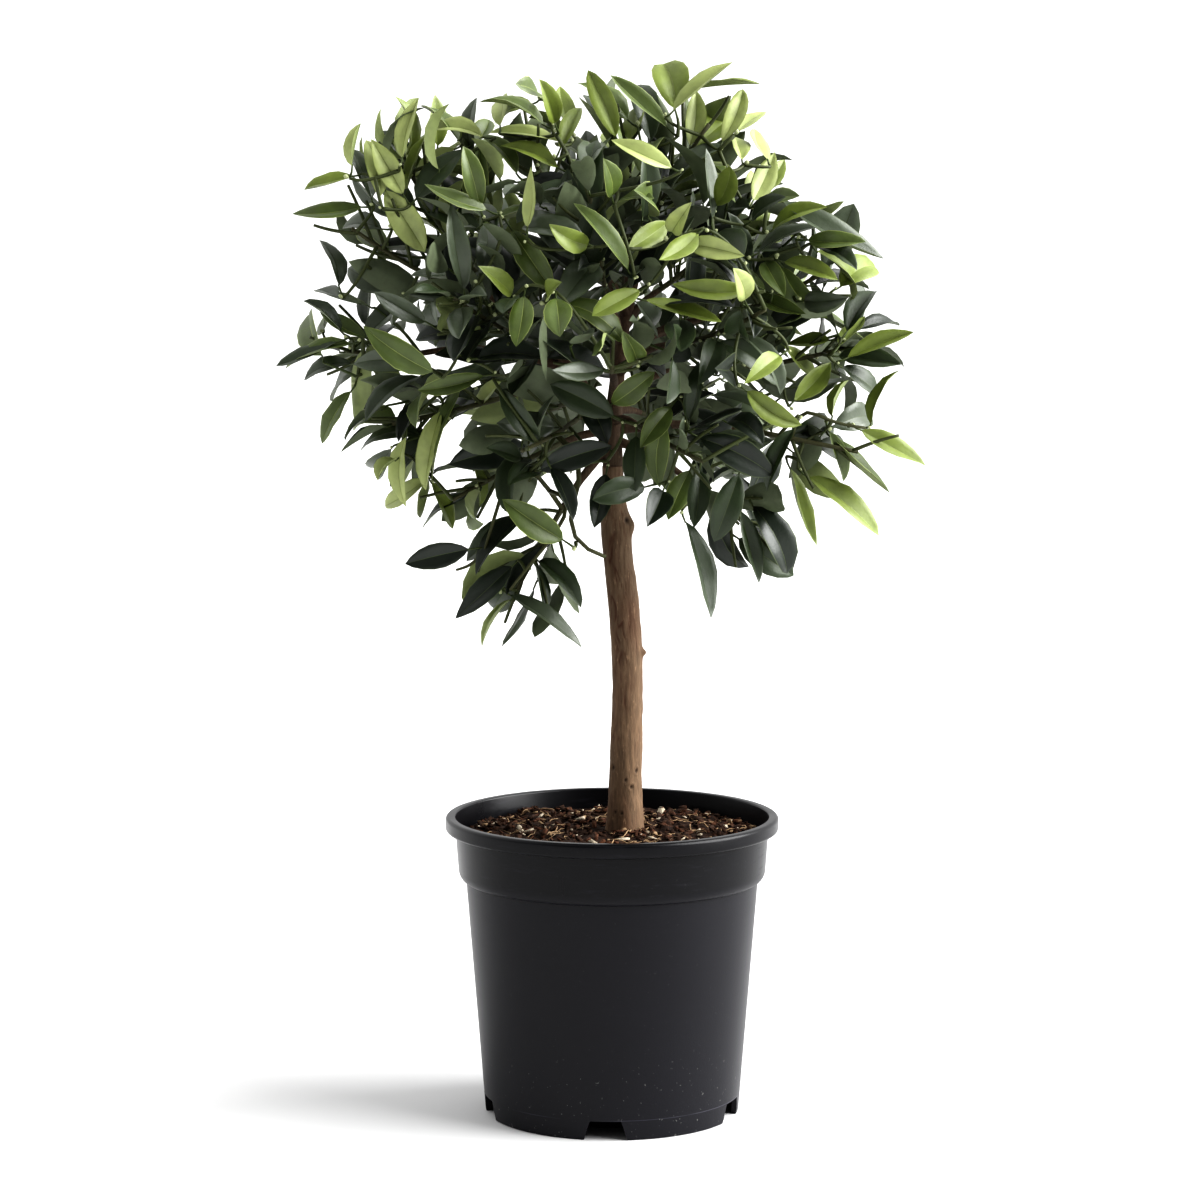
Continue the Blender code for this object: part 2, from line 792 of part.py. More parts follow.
    def build(self):
        """Joins stem, twigs and leaves; where both solvers leave it open, the last leaf goes."""
        material = leaf_green(f"leaves_{self.name}")
        mass = make_object(f"mass_{self.name}", mesh_from(self.name, *self.tubes[0]), material)
        leaves = [corners for _, corners in self.leaves]
        for attempt in range(2 * len(leaves)):
            pieces = bpy.data.collections.new("pieces")
            bpy.context.scene.collection.children.link(pieces)
            for corners, faces in self.tubes[1:]:
                pieces.objects.link(bpy.data.objects.new("twig", mesh_from("twig", corners, faces)))
            for corners in leaves:
                blade = mesh_from("leaf", corners, LEAF_FACES)
                pieces.objects.link(bpy.data.objects.new("leaf", blade))
            apply_boolean(mass, "UNION", pieces, ("EXACT", "MANIFOLD")[attempt % 2])
            clear_collection(pieces)
            keep_largest_shell(mass)
            if is_sound(mass):
                return mass
            leaves = leaves[:-1] if attempt % 2 else leaves
            mass.data = mesh_from(self.name, *self.tubes[0])
            mass.data.materials.append(material)
        raise RuntimeError(f"mass {self.name} stays open")


# Assembly


def main_bough_paths(limbs):
    """The leader goes on from the trunk's end, the left bough springs from just below it."""
    trunk_points, _ = limbs.paths["trunk"]
    fork = trunk_points[-1]
    rise = (trunk_points[-1] - trunk_points[-2]).normalized()
    paths = {}
    for name, bough in MAIN_BOUGHS.items():
        end = polar(bough["turn"], bough["reach"], bough["height"])
        start = fork + rise * GAP if name == "leader" else fork - rise * FORK_DROP
        middle = start + rise * (end - start).length * FORK_BEND
        paths[name] = curve_between(start, middle, end, BOUGH_STEPS + 1)
    return paths


def branch_shares():
    """Where each side bough springs from its parent: the low masses first, evenly spaced."""
    shares = {}
    for parent in MAIN_BOUGHS:
        ordered = [name for name, row in MASSES.items() if row[4] == parent]
        ordered.sort(key=lambda name: MASSES[name][2])
        for index, name in enumerate(ordered[:-1]):
            shares[name] = FIRST_BRANCH + (LAST_BRANCH - FIRST_BRANCH) * index / (len(ordered) - 2)
        shares[ordered[-1]] = None
    return shares


def bough_end(space, start):
    """The point on the way to the mass's middle where the bough has just entered its space."""
    share = 1.0
    while share > SHORTEST_BOUGH:
        point = start.lerp(space.middle, share)
        if space.depth(point) < ENTRY_DEPTH:
            break
        share -= BOUGH_CUT
    return start.lerp(space.middle, min(share + BOUGH_CUT, LONGEST_BOUGH))


def build_tree():
    limbs = Limbs()
    limbs.add("trunk", *trunk_path())
    make_trunk()
    middles, sizes = mass_middles()
    spaces = {name: Space(name, middles, sizes) for name in MASSES}
    shares = branch_shares()
    mains = main_bough_paths(limbs)
    for name, points in mains.items():
        radii = tapered(MAIN_BOUGHS[name]["radii"], len(points))
        make_bough(limbs, name, points, radii)
    ends = {}
    for name, row in MASSES.items():
        parent = row[4]
        if shares[name] is None:
            points = mains[parent]
            ends[name] = points[-1], (points[-1] - points[-2]).normalized()
            continue
        start = point_along(mains[parent], shares[name])
        end = bough_end(spaces[name], start)
        lift = BOUGH_LIFT if end.z > start.z else HANGING_LIFT
        points = bent_path(start, end, lift, BOUGH_STEPS)
        make_bough(limbs, name, points, tapered(SIDE_BOUGH_RADII, len(points)))
        ends[name] = points[-1], (points[-1] - points[-2]).normalized()
    leaf_middles = []
    for seed, name in enumerate(MASSES, start=FIRST_SEED):
        end, heading = ends[name]
        mass = Mass(name, spaces[name], end + heading * GAP, heading, limbs, leaf_middles, seed)
        mass.grow()
        mass.build()


def main():
    for obj in list(bpy.data.objects):
        bpy.data.objects.remove(obj)
    make_pot()
    make_soil()
    build_tree()


main()
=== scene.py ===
"""Finish of a small kumquat tree in a nursery pot: bark, leaves, twigs, buds, mix, pot and stage.

Metres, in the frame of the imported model: +Z up, -Y the front that the camera sees.
"""

import math

import bpy
import numpy as np
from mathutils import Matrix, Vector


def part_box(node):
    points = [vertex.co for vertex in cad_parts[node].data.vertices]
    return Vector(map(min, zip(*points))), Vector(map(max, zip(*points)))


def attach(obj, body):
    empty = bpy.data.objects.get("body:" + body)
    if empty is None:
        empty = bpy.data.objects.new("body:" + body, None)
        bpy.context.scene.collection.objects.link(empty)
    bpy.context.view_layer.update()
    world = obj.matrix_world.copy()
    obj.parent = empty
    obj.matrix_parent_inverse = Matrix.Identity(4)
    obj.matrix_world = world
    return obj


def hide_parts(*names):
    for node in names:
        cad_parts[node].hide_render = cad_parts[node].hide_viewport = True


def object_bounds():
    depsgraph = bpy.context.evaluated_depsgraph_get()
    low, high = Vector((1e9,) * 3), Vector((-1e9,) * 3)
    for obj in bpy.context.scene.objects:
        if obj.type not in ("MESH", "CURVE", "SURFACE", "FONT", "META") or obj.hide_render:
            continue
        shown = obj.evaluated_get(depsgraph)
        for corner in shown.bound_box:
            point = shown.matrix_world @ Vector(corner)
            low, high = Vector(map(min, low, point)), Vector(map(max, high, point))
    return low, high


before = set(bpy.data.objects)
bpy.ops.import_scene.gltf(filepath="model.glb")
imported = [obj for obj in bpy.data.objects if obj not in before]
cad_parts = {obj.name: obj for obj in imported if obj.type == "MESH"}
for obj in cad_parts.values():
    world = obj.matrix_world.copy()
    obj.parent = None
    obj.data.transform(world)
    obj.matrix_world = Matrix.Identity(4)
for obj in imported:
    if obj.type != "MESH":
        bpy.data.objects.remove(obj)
CAD_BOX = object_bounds()

bl_info = {
    "name": "Potted kumquat tree",
    "version": (1, 0, 0),
    "blender": (4, 5, 0),
    "location": "3D View > Sidebar > Potted tree",
    "description": "Makes the finished pot, mix, trunk, boughs, leaves, twigs, buds and stage",
    "category": "Add Mesh",
}

UP = np.array((0.0, 0.0, 1.0))

# Camera: where it stands, how far it looks down, and its focal length in pixels of the picture
EYE = np.array((-0.0076, -2.2416, 0.585))
PITCH = 0.1152
PICTURE_MIDDLE = 600.0
FOCAL_PIXELS = 3600.0
LENS = 108.0
SENSOR = 36.0

# Pot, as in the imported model
POT_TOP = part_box("pot")[1].z
RIM_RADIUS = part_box("pot")[1].x
RIM_WIDTH = 0.0062
RIM_DEPTH = 0.0092
COLLAR_TOP_RADIUS = 0.0987
COLLAR_FOOT_RADIUS = 0.0970
COLLAR_FOOT_HEIGHT = 0.1562
STEP_HEIGHT = 0.1490
STEP_RADIUS = 0.0922
FOOT_RADIUS = 0.0803
POT_WALL = 0.0020
LIP_ROUND = 0.0022
FLANGE_ROUND = 0.0020
FLANGE_CREASE = 0.0010
EDGE_BREAK = 0.0012
PAD_RADIUS = 0.050
CHANNEL_HEIGHT = 0.0135
FOOT_WIDTH = 0.0034
NOTCH_COUNT = 5
NOTCH_TURN = math.radians(-93.0)
NOTCH_HEIGHT = 0.0121
NOTCH_FOOT_WIDTH = 0.0269
NOTCH_TOP_WIDTH = 0.0193

# Potting mix: radius and height of its surface, and the gap to the pot
MIX_SLOPE = ((0.0944, 0.1775), (0.075, 0.1785), (0.045, 0.1797), (0.020, 0.1805), (0.0, 0.1805))
MIX_SLACK = 0.0006
# Shares of dark, red, tan and pale chips, and the pale ones that the picture shows: column and row
# in pixels, size and heading
CHIP_SHARES = (0.60, 0.29, 0.07, 0.04)
SEEN_CHIPS = np.array((
    (660, 812, 0.0040, 0.6), (730, 819, 0.0034, 1.2), (649, 835, 0.0042, 0.2),
    (653, 838, 0.0034, 2.6), (543, 828, 0.0038, 0.4), (521, 831, 0.0036, 2.4),
    (576, 813, 0.0032, 0.3), (662, 806, 0.0030, 1.9), (540, 817, 0.0026, 0.8),
    (597, 805, 0.0036, 2.8), (592, 810, 0.0032, 0.5), (726, 827, 0.0030, 2.2),
    (708, 812, 0.0026, 1.1), (560, 809, 0.0026, 0.2), (636, 829, 0.0030, 2.9),
    (494, 826, 0.0026, 0.6), (688, 808, 0.0030, 0.3), (575, 836, 0.0028, 1.4),
))

# Trunk: height above the cut at soil level, lean to the right and radius
SOIL_CUT = 0.1808
TRUNK_STATIONS = np.array((
    (0.0000, 0.0077, 0.0122),
    (0.0080, 0.0079, 0.0114),
    (0.0310, 0.0084, 0.0103),
    (0.0820, 0.0099, 0.0096),
    (0.1130, 0.0094, 0.0097),
    (0.1380, 0.0077, 0.0096),
    (0.1580, 0.0054, 0.0094),
    (0.1830, 0.0026, 0.0094),
    (0.1950, 0.0020, 0.0092),
    (0.2050, 0.0012, 0.0074),
    (0.2260, 0.0004, 0.0067),
))
# Lumps and pits on the trunk: azimuth, height above the cut, rise, spread round it and along it
TRUNK_MARKS = (
    (-12.0, 0.1920, 0.0030, 0.0050, 0.0060),
    (-40.0, 0.1955, -0.0011, 0.0018, 0.0022),
    (-8.0, 0.1120, 0.0022, 0.0016, 0.0022),
    (-142.0, 0.0395, -0.0007, 0.0013, 0.0016),
    (-48.0, 0.0377, -0.0006, 0.0011, 0.0014),
    (-90.0, 0.0321, -0.0005, 0.0010, 0.0012),
    (-69.0, 0.0277, -0.0006, 0.0012, 0.0013),
    (-150.0, 0.1010, 0.0007, 0.0025, 0.0040),
    (65.0, 0.1450, 0.0012, 0.0024, 0.0034),
    (120.0, 0.0700, -0.0007, 0.0016, 0.0022),
    (-123.0, 0.0116, -0.0005, 0.0010, 0.0010),
    (-100.0, 0.0112, -0.0005, 0.0010, 0.0009),
)

# Boughs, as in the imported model: azimuth, reach and height of the tip, and the radii
MAIN_BOUGHS = {
    "leader": (10.0, 0.016, 0.535, 0.0062, 0.0026),
    "left_fork": (178.0, 0.070, 0.515, 0.0052, 0.0024),
}
SIDE_BOUGH_RADII = (0.0032, 0.0017)
GAP = 0.0003
FORK_DROP = 0.004
FORK_BEND = 0.45
BOUGH_LIFT = 0.16
HANGING_LIFT = 0.10
FIRST_BRANCH = 0.16
LAST_BRANCH = 0.82
SHORTEST_BOUGH = 0.30
LONGEST_BOUGH = 0.90
BOUGH_CUT = 0.02
ENTRY_DEPTH = 0.008

# Masses of leaves: azimuth from +X, reach and height of the tip, size and the bough they spring from
MASSES = {
    "top": (10, 0.014, 0.658, 0.062, "leader"),
    "top_left": (196, 0.072, 0.650, 0.060, "leader"),
    "top_right": (-14, 0.080, 0.658, 0.060, "leader"),
    "upper_left": (176, 0.152, 0.630, 0.064, "left_fork"),
    "upper_right": (14, 0.120, 0.606, 0.060, "leader"),
    "left_high": (184, 0.198, 0.577, 0.064, "left_fork"),
    "left": (176, 0.208, 0.482, 0.062, "left_fork"),
    "left_low": (188, 0.178, 0.428, 0.062, "left_fork"),
    "low_left": (200, 0.142, 0.374, 0.058, "left_fork"),
    "right_high": (-14, 0.176, 0.548, 0.062, "leader"),
    "right": (6, 0.189, 0.489, 0.058, "leader"),
    "right_low": (-6, 0.194, 0.412, 0.054, "leader"),
    "low_right": (-26, 0.134, 0.348, 0.050, "leader"),
    "hanging_left": (206, 0.088, 0.300, 0.050, "left_fork"),
    "front_high": (262, 0.135, 0.605, 0.066, "leader"),
    "front_left": (230, 0.180, 0.530, 0.066, "left_fork"),
    "front_middle": (270, 0.182, 0.482, 0.058, "leader"),
    "front_right": (310, 0.180, 0.522, 0.066, "leader"),
    "front_low_left": (244, 0.160, 0.420, 0.062, "left_fork"),
    "front_low_right": (298, 0.155, 0.412, 0.062, "leader"),
    "back_high": (84, 0.138, 0.605, 0.066, "leader"),
    "back_left": (130, 0.180, 0.540, 0.066, "left_fork"),
    "back_middle": (90, 0.184, 0.490, 0.058, "leader"),
    "back_right": (50, 0.180, 0.530, 0.066, "leader"),
    "back_low_left": (122, 0.160, 0.420, 0.062, "left_fork"),
    "back_low_right": (58, 0.158, 0.412, 0.062, "leader"),
}
HEAD_HEART = np.array((-0.004, 0.0, 0.485))
HEAD_REACH = np.array((0.200, 0.190, 0.170))

# Growth inside a mass
STEM_BEND = 0.4
STEM_SHORTFALL = 0.0417
STEM_POINTS = 8
TWIG_POINTS = 6
STEM_RADII = (0.0018, 0.0012)
TWIG_RADII = (0.0013, 0.0009)
TWIGLET_RADII = (0.0010, 0.0007)
PETIOLE_RADII = (0.0008, 0.0005)
GOLDEN_ANGLE = math.radians(137.5)
TWIG_SHARES = (0.05, 0.95)
TWIG_LEANS = (math.radians(76.0), math.radians(34.0))
TWIG_LENGTHS = (0.046, 0.070)
TWIG_TRIES = 7
TWIGLET_LENGTHS = (0.020, 0.034)
TWIGLET_SHARES = (0.42, 0.70)
TWIGLET_LEAN = math.radians(52.0)
SHORTEST_TWIG = 0.016
NODE_STEP = 0.0090
TUFT = 3
FIRST_NODE = 0.28
LEAF_TRIES = 14
LEAF_LEANS = (math.radians(38.0), math.radians(82.0))
END_LEANS = (math.radians(10.0), math.radians(34.0))
DROOP_FROM = 0.36
DROOP_TO = 0.62
DROOP_LOW = -0.45
DROOP_HIGH = 0.15
OUTWARD_PULL = 0.12
SPACE_SLACK = 0.005
SPACE_REACH = 0.88
LIMB_CLEARANCE = 0.0035
NEAR_LEAF = 0.075
LEAST_ROOM = 0.0042
PETIOLE = (0.005, 0.009)
# Share of leaves on the older sprays that get the painted sheen colour
PAINTED_SHEEN_SHARE = 0.22

# Leaf tints, from the oldest to the youngest, and a grey one that is painted sheen: a base colour standing in
# for the sky's shine on leaves
DEEP, MATURE, MIDDLE, YOUNG, PALE, PAINTED_SHEEN = range(6)
TINT_NAMES = ("deep", "mature", "middle", "young", "pale", "grey")
EDGE_GREEN, EDGE_PALE, UNDER_GREY, UNDER_PALE = range(6, 10)

# Leaves that the picture shows one by one, as read from it: root and tip in pixels, width in pixels
# and for some a sideways sweep, in groups by the mass that carries them, with how far to the back
# their roots lie
SEEN_LEAVES = {
    ("upper_left", -0.030): (
        (402, 158, 419, 98, 20), (352, 166, 361, 123, 13),
        (380, 197, 366, 140, 24), (403, 194, 371, 139, 28),
        (385, 190, 425, 252, 34), (353, 176, 304, 190, 15),
        (483, 137, 424, 134, 18, 0.10), (407, 190, 425, 136, 13),
        (455, 149, 414, 176, 16),
    ),
    ("left_high", -0.010): (
        (362, 207, 292, 214, 18, -0.10), (382, 229, 342, 229, 20),
        (339, 286, 319, 240, 16), (339, 297, 313, 291, 12),
        (396, 290, 348, 268, 28), (380, 266, 397, 246, 18),
        (417, 268, 400, 250, 16),
    ),
    ("left", -0.015): (
        (337, 342, 276, 366, 14), (351, 344, 285, 369, 14),
        (351, 364, 304, 380, 16), (351, 391, 322, 444, 18),
        (341, 331, 303, 301, 13), (366, 338, 320, 312, 20),
    ),
    ("front_left", -0.105): (
        (433, 372, 363, 326, 30), (464, 290, 451, 203, 28),
        (487, 210, 424, 184, 16, -0.12), (480, 207, 463, 146, 24),
        (512, 294, 478, 266, 20), (426, 322, 374, 292, 26),
        (484, 376, 417, 390, 24), (512, 230, 552, 290, 34),
        (500, 300, 560, 262, 24),
    ),
    ("top_left", -0.035): (
        (555, 123, 539, 79, 22), (539, 97, 515, 84, 16),
        (558, 168, 500, 146, 20, 0.12), (560, 149, 580, 108, 22),
        (517, 174, 481, 136, 18), (560, 142, 489, 133, 14),
        (500, 126, 503, 96, 18), (532, 104, 500, 122, 16),
        (572, 128, 560, 86, 22),
    ),
    ("top", -0.020): (
        (616, 137, 588, 70, 26), (668, 128, 610, 75, 22),
        (675, 109, 663, 64, 42), (630, 140, 637, 106, 20),
    ),
    ("top_right", -0.020): (
        (673, 111, 733, 62, 18), (722, 142, 743, 89, 24),
        (739, 131, 766, 112, 16), (753, 201, 775, 152, 26),
        (690, 146, 696, 90, 26), (742, 160, 733, 136, 20),
        (768, 160, 755, 129, 16),
    ),
    ("upper_right", -0.055): (
        (712, 219, 706, 148, 14), (716, 206, 730, 166, 24),
        (752, 220, 786, 197, 16), (772, 230, 828, 207, 18),
        (783, 202, 884, 259, 27, 0.08), (760, 205, 800, 196, 16),
    ),
    ("right_high", -0.050): (
        (808, 240, 866, 242, 22, 0.08), (820, 248, 857, 270, 18),
        (784, 262, 838, 280, 20), (804, 301, 849, 297, 26),
        (758, 253, 823, 227, 14), (765, 262, 785, 297, 24),
        (758, 294, 806, 314, 22),
    ),
    ("right", -0.010): (
        (839, 346, 865, 316, 16), (847, 358, 914, 332, 22),
        (794, 401, 831, 362, 30), (830, 340, 784, 345, 16),
        (784, 346, 816, 376, 18),
    ),
    ("right_low", -0.020): (
        (871, 425, 900, 370, 9), (832, 417, 849, 380, 7),
        (861, 430, 926, 466, 22), (829, 431, 843, 482, 18),
        (808, 477, 879, 536, 24), (790, 468, 817, 546, 18),
    ),
    ("front_high", -0.125): (
        (672, 168, 611, 140, 22), (612, 196, 603, 158, 20),
        (628, 270, 573, 203, 20, -0.08), (588, 244, 549, 224, 26),
        (672, 232, 692, 202, 24), (527, 228, 531, 166, 14),
    ),
    ("front_right", -0.120): (
        (698, 233, 659, 260, 22), (688, 244, 745, 256, 26),
        (747, 391, 802, 425, 26), (640, 290, 592, 316, 22),
        (750, 290, 672, 284, 26), (745, 300, 733, 268, 22),
        (645, 300, 722, 322, 16), (780, 356, 744, 384, 24),
        (668, 222, 628, 250, 26),
    ),
    ("front_middle", -0.130): (
        (556, 298, 560, 337, 30), (524, 296, 516, 347, 24),
        (549, 300, 562, 282, 15), (605, 370, 552, 370, 20),
        (514, 298, 503, 314, 18), (636, 360, 622, 330, 26),
    ),
    ("front_low_right", -0.090): (
        (700, 438, 773, 475, 34), (794, 429, 767, 491, 20),
        (739, 474, 714, 542, 30), (663, 491, 647, 527, 34),
        (671, 407, 640, 448, 26), (645, 487, 592, 500, 28),
        (664, 424, 660, 488, 26), (636, 436, 634, 494, 24),
        (700, 470, 694, 528, 26), (612, 404, 655, 372, 26),
    ),
    ("low_right", -0.060): (
        (741, 511, 759, 584, 22), (685, 521, 711, 619, 22),
        (690, 470, 668, 520, 26),
    ),
    ("low_left", -0.040): (
        (396, 460, 378, 481, 14), (406, 437, 406, 507, 20),
        (461, 388, 432, 486, 12), (441, 411, 426, 491, 26),
        (428, 478, 385, 506, 20), (431, 482, 453, 529, 16),
        (469, 454, 479, 507, 14), (502, 381, 473, 410, 16),
    ),
    ("front_low_left", -0.080): (
        (500, 388, 540, 444, 26), (563, 540, 502, 499, 36),
        (551, 468, 573, 521, 20), (606, 474, 594, 528, 26),
        (540, 470, 612, 446, 30), (614, 416, 550, 384, 32),
        (522, 458, 486, 448, 22), (540, 472, 508, 486, 20),
        (535, 462, 516, 476, 14),
    ),
    ("hanging_left", -0.040): (
        (469, 549, 405, 564, 28), (512, 566, 455, 619, 26),
        (543, 546, 506, 595, 16), (510, 595, 582, 648, 15, 0.12),
        (535, 564, 545, 615, 12),
    ),
}
WINDOW_EDGE = 4.0
SEEN_STEP = 0.003
# Twigs that the picture shows bare, in pixels, with the mass, the depth and the radii
SEEN_TWIGS = (
    ("hanging_left", -0.040, 0.0016, 0.0009, ((520, 446), (506, 474), (494, 520), (478, 572))),
    ("hanging_left", -0.040, 0.0012, 0.0008, ((484, 552), (470, 566), (456, 570))),
    ("hanging_left", -0.045, 0.0015, 0.0009, ((578, 498), (560, 530), (536, 556), (510, 590))),
    ("front_low_left", -0.070, 0.0018, 0.0012,
     ((592, 462), (574, 496), (563, 523), (565, 540), (582, 556), (606, 557))),
    ("right_low", -0.020, 0.0014, 0.0009, ((800, 402), (830, 424), (866, 428))),
)

# Leaf form: places across and along its grid
LEAF_COLUMNS = np.array((-1.0, -0.94, -0.5, -0.03, 0.03, 0.5, 0.94, 1.0))
LEAF_ROWS = np.array((0.09, 0.24, 0.41, 0.58, 0.75, 0.90))
PROBE_ROWS = np.array((0.08, 0.32, 0.50, 0.70, 0.94))
PROBE_COLUMNS = np.array((-1.0, 0.0, 1.0))
KEEL = 0.00035


# Vectors and grids


def unit(vectors):
    """Each vector divided by its length."""
    length = np.linalg.norm(vectors, axis=-1, keepdims=True)
    return vectors / np.maximum(length, 1e-9)


def dot(first, second):
    return np.sum(first * second, axis=-1, keepdims=True)


def side_frame(direction, hint):
    """Two unit vectors square to a direction, the first one as near to the hint as can be."""
    across = hint - direction * dot(direction, hint)
    across = np.where(np.linalg.norm(across, axis=-1, keepdims=True) < 1e-3,
                      np.roll(direction, 1, axis=-1), across)
    across = unit(across - direction * dot(direction, across))
    return across, np.cross(direction, across)


def polar(turn, reach, height):
    angle = math.radians(turn)
    return np.array((reach * math.cos(angle), reach * math.sin(angle), height))


def curve_between(start, bend, end, count):
    """Points on the parabola start (1-t)^2 + bend 2t(1-t) + end t^2, for t from 0 to 1."""
    t = np.linspace(0.0, 1.0, count)[:, None]
    return start * (1 - t) ** 2 + bend * 2 * t * (1 - t) + end * t * t


def point_along(points, share):
    """The point at a share of a path's number of steps, on the straight line between two."""
    place = share * (len(points) - 1)
    index = min(int(place), len(points) - 2)
    return points[index] + (points[index + 1] - points[index]) * (place - index)


def resampled(points, count):
    """A path of count points, evenly spaced along the given one."""
    steps = np.linalg.norm(np.diff(points, axis=0), axis=1)
    place = np.concatenate(([0.0], np.cumsum(steps)))
    wanted = np.linspace(0.0, place[-1], count)
    return np.stack([np.interp(wanted, place, points[:, axis]) for axis in range(3)], 1)


def trimmed(points, share):
    """The first share of a path, with as many points as the whole."""
    return np.array([point_along(points, share * place) for place in np.linspace(0, 1, len(points))])


def smoothed(points, count, rounds=6):
    """A path through the given points with its corners rounded off, ends kept."""
    path = resampled(points, count)
    for _ in range(rounds):
        path[1:-1] = (path[:-2] + 2 * path[1:-1] + path[2:]) / 4
    return path


def ring_noise(draw, turn, rise, turn_cells, rise_cells):
    """Smooth random heights from -1 to 1 over a cylinder: a grid of random numbers, joined all
    round, read between its points with the blend 3f^2 - 2f^3."""
    grid = draw.uniform(-1.0, 1.0, (rise_cells + 2, turn_cells))
    x = np.mod(turn, 1.0) * turn_cells
    y = np.clip(rise, 0.0, 1.0) * rise_cells
    x0, y0 = np.floor(x).astype(int), np.floor(y).astype(int)
    fx, fy = x - x0, y - y0
    fx, fy = fx * fx * (3 - 2 * fx), fy * fy * (3 - 2 * fy)
    left, right = x0 % turn_cells, (x0 + 1) % turn_cells
    low = grid[y0, left] * (1 - fx) + grid[y0, right] * fx
    high = grid[y0 + 1, left] * (1 - fx) + grid[y0 + 1, right] * fx
    return low * (1 - fy) + high * fy


def plane_noise(draw, x, y, cell):
    """Smooth random heights from -1 to 1 over the ground, one random number for each cell."""
    half = 0.12
    cells = int(2 * half / cell) + 2
    return ring_noise(draw, (x + half) / (cells * cell), (y + half) / (cells * cell), cells, cells)


# The camera's picture


def seen(points):
    """Column and row of points in the picture: focal length times the slope to the eye's axis."""
    x, y, z = np.moveaxis(points - EYE, -1, 0)
    depth = y * math.cos(PITCH) - z * math.sin(PITCH)
    height = y * math.sin(PITCH) + z * math.cos(PITCH)
    return (PICTURE_MIDDLE + FOCAL_PIXELS * x / depth,
            PICTURE_MIDDLE - FOCAL_PIXELS * height / depth)


def spot(column, row, depth):
    """The point behind a pixel of the picture that lies at a given Y."""
    right = (column - PICTURE_MIDDLE) / FOCAL_PIXELS
    above = (PICTURE_MIDDLE - row) / FOCAL_PIXELS
    ray = np.array((right,
                    math.cos(PITCH) + above * math.sin(PITCH),
                    above * math.cos(PITCH) - math.sin(PITCH)))
    return EYE + ray * (depth - EYE[1]) / ray[1]


def ground_spot(column, row, height):
    """The point behind a pixel of the picture that lies at a given height."""
    ray = spot(column, row, 0.0) - EYE
    return EYE + ray * (height - EYE[2]) / ray[2]


def seen_windows():
    """The ellipses in the picture that the leaves seen one by one fill, in which no other leaf
    stands before them: middle, direction, half sizes and Y."""
    windows = []
    for (_, depth), leaves in SEEN_LEAVES.items():
        for column, row, tip_column, tip_row, pixels, *_ in leaves:
            lead = np.array((tip_column - column, tip_row - row), float)
            length = np.linalg.norm(lead)
            windows.append((column + lead[0] / 2, row + lead[1] / 2, *(lead / length),
                            length / 2, pixels / 2 + WINDOW_EDGE, depth))
    return np.array(windows)


# Meshes


def make_piece(name, points, faces, materials, marks=None, smooth=True, sharp=None):
    """A mesh object from an array of corners and arrays of faces, one array for each count of
    corners. marks gives each face its material, sharp the pairs of corners of sharp edges."""
    mesh = bpy.data.meshes.new(name)
    mesh.vertices.add(len(points))
    mesh.vertices.foreach_set("co", np.ascontiguousarray(points, np.float32).ravel())
    corners = np.concatenate([part.ravel() for part in faces])
    sizes = np.concatenate([np.full(len(part), part.shape[1]) for part in faces])
    mesh.loops.add(len(corners))
    mesh.loops.foreach_set("vertex_index", corners.astype(np.int32))
    mesh.polygons.add(len(sizes))
    starts = np.concatenate(([0], np.cumsum(sizes)[:-1]))
    mesh.polygons.foreach_set("loop_start", starts.astype(np.int32))
    for material in materials:
        mesh.materials.append(material)
    if marks is not None:
        mesh.polygons.foreach_set("material_index", marks.astype(np.int32))
    mesh.update(calc_edges=True)
    if smooth:
        mesh.shade_smooth()
    if sharp is not None:
        edges = np.empty(len(mesh.edges) * 2, np.int32)
        mesh.edges.foreach_get("vertices", edges)
        flags = mesh.attributes.new("sharp_edge", "BOOLEAN", "EDGE")
        flags.data.foreach_set("value", sharp[edges.reshape(-1, 2)].all(axis=1))
    obj = bpy.data.objects.new(name, mesh)
    bpy.context.scene.collection.objects.link(obj)
    return obj


def give_attribute(obj, name, values):
    attribute = obj.data.attributes.new(name, "FLOAT", "POINT")
    attribute.data.foreach_set("value", np.ascontiguousarray(values, np.float32).ravel())


def placed(obj, nodes):
    """The piece rides with the plant and stands for its CAD nodes, which it hides."""
    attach(obj, "root")
    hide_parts(*nodes)
    return obj


def tube_faces(count, rings, sides):
    """Quads round each tube and triangles to a pole at either end, for count tubes that each
    hold rings x sides corners and then two poles."""
    size = rings * sides + 2
    side = np.arange(sides)
    after = (side + 1) % sides
    low = (np.arange(rings - 1) * sides)[:, None]
    quads = np.stack((low + side, low + after, low + sides + after, low + sides + side), -1)
    last = (rings - 1) * sides
    foot = np.stack((after, side, np.full(sides, size - 2)), -1)
    tip = np.stack((last + side, last + after, np.full(sides, size - 1)), -1)
    first = (np.arange(count) * size)[:, None, None]
    quads = (first + quads.reshape(-1, 4)).reshape(-1, 4)
    ends = (first + np.concatenate((foot, tip))).reshape(-1, 3)
    return quads, ends


def tube_points(paths, radii, sides, relief=None):
    """Corners of closed tubes: path(s) + radius(s) (across cos a + up sin a), plus the path's two
    ends as poles. paths is (tubes, rings, 3), radii (tubes, rings), relief adds to the radius."""
    tangent = unit(np.gradient(paths, axis=1))
    lead = unit(paths[:, -1] - paths[:, 0])
    hint = np.eye(3)[np.argmin(np.abs(lead), axis=1)][:, None]
    across, up = side_frame(tangent, hint)
    angle = math.tau * np.arange(sides) / sides
    ring = across[:, :, None] * np.cos(angle)[:, None] + up[:, :, None] * np.sin(angle)[:, None]
    width = radii[:, :, None] + (0.0 if relief is None else relief)
    corners = paths[:, :, None] + ring * width[..., None]
    count, rings = paths.shape[:2]
    poles = paths[:, [0, -1]]
    return np.concatenate((corners.reshape(count, rings * sides, 3), poles), 1).reshape(-1, 3)


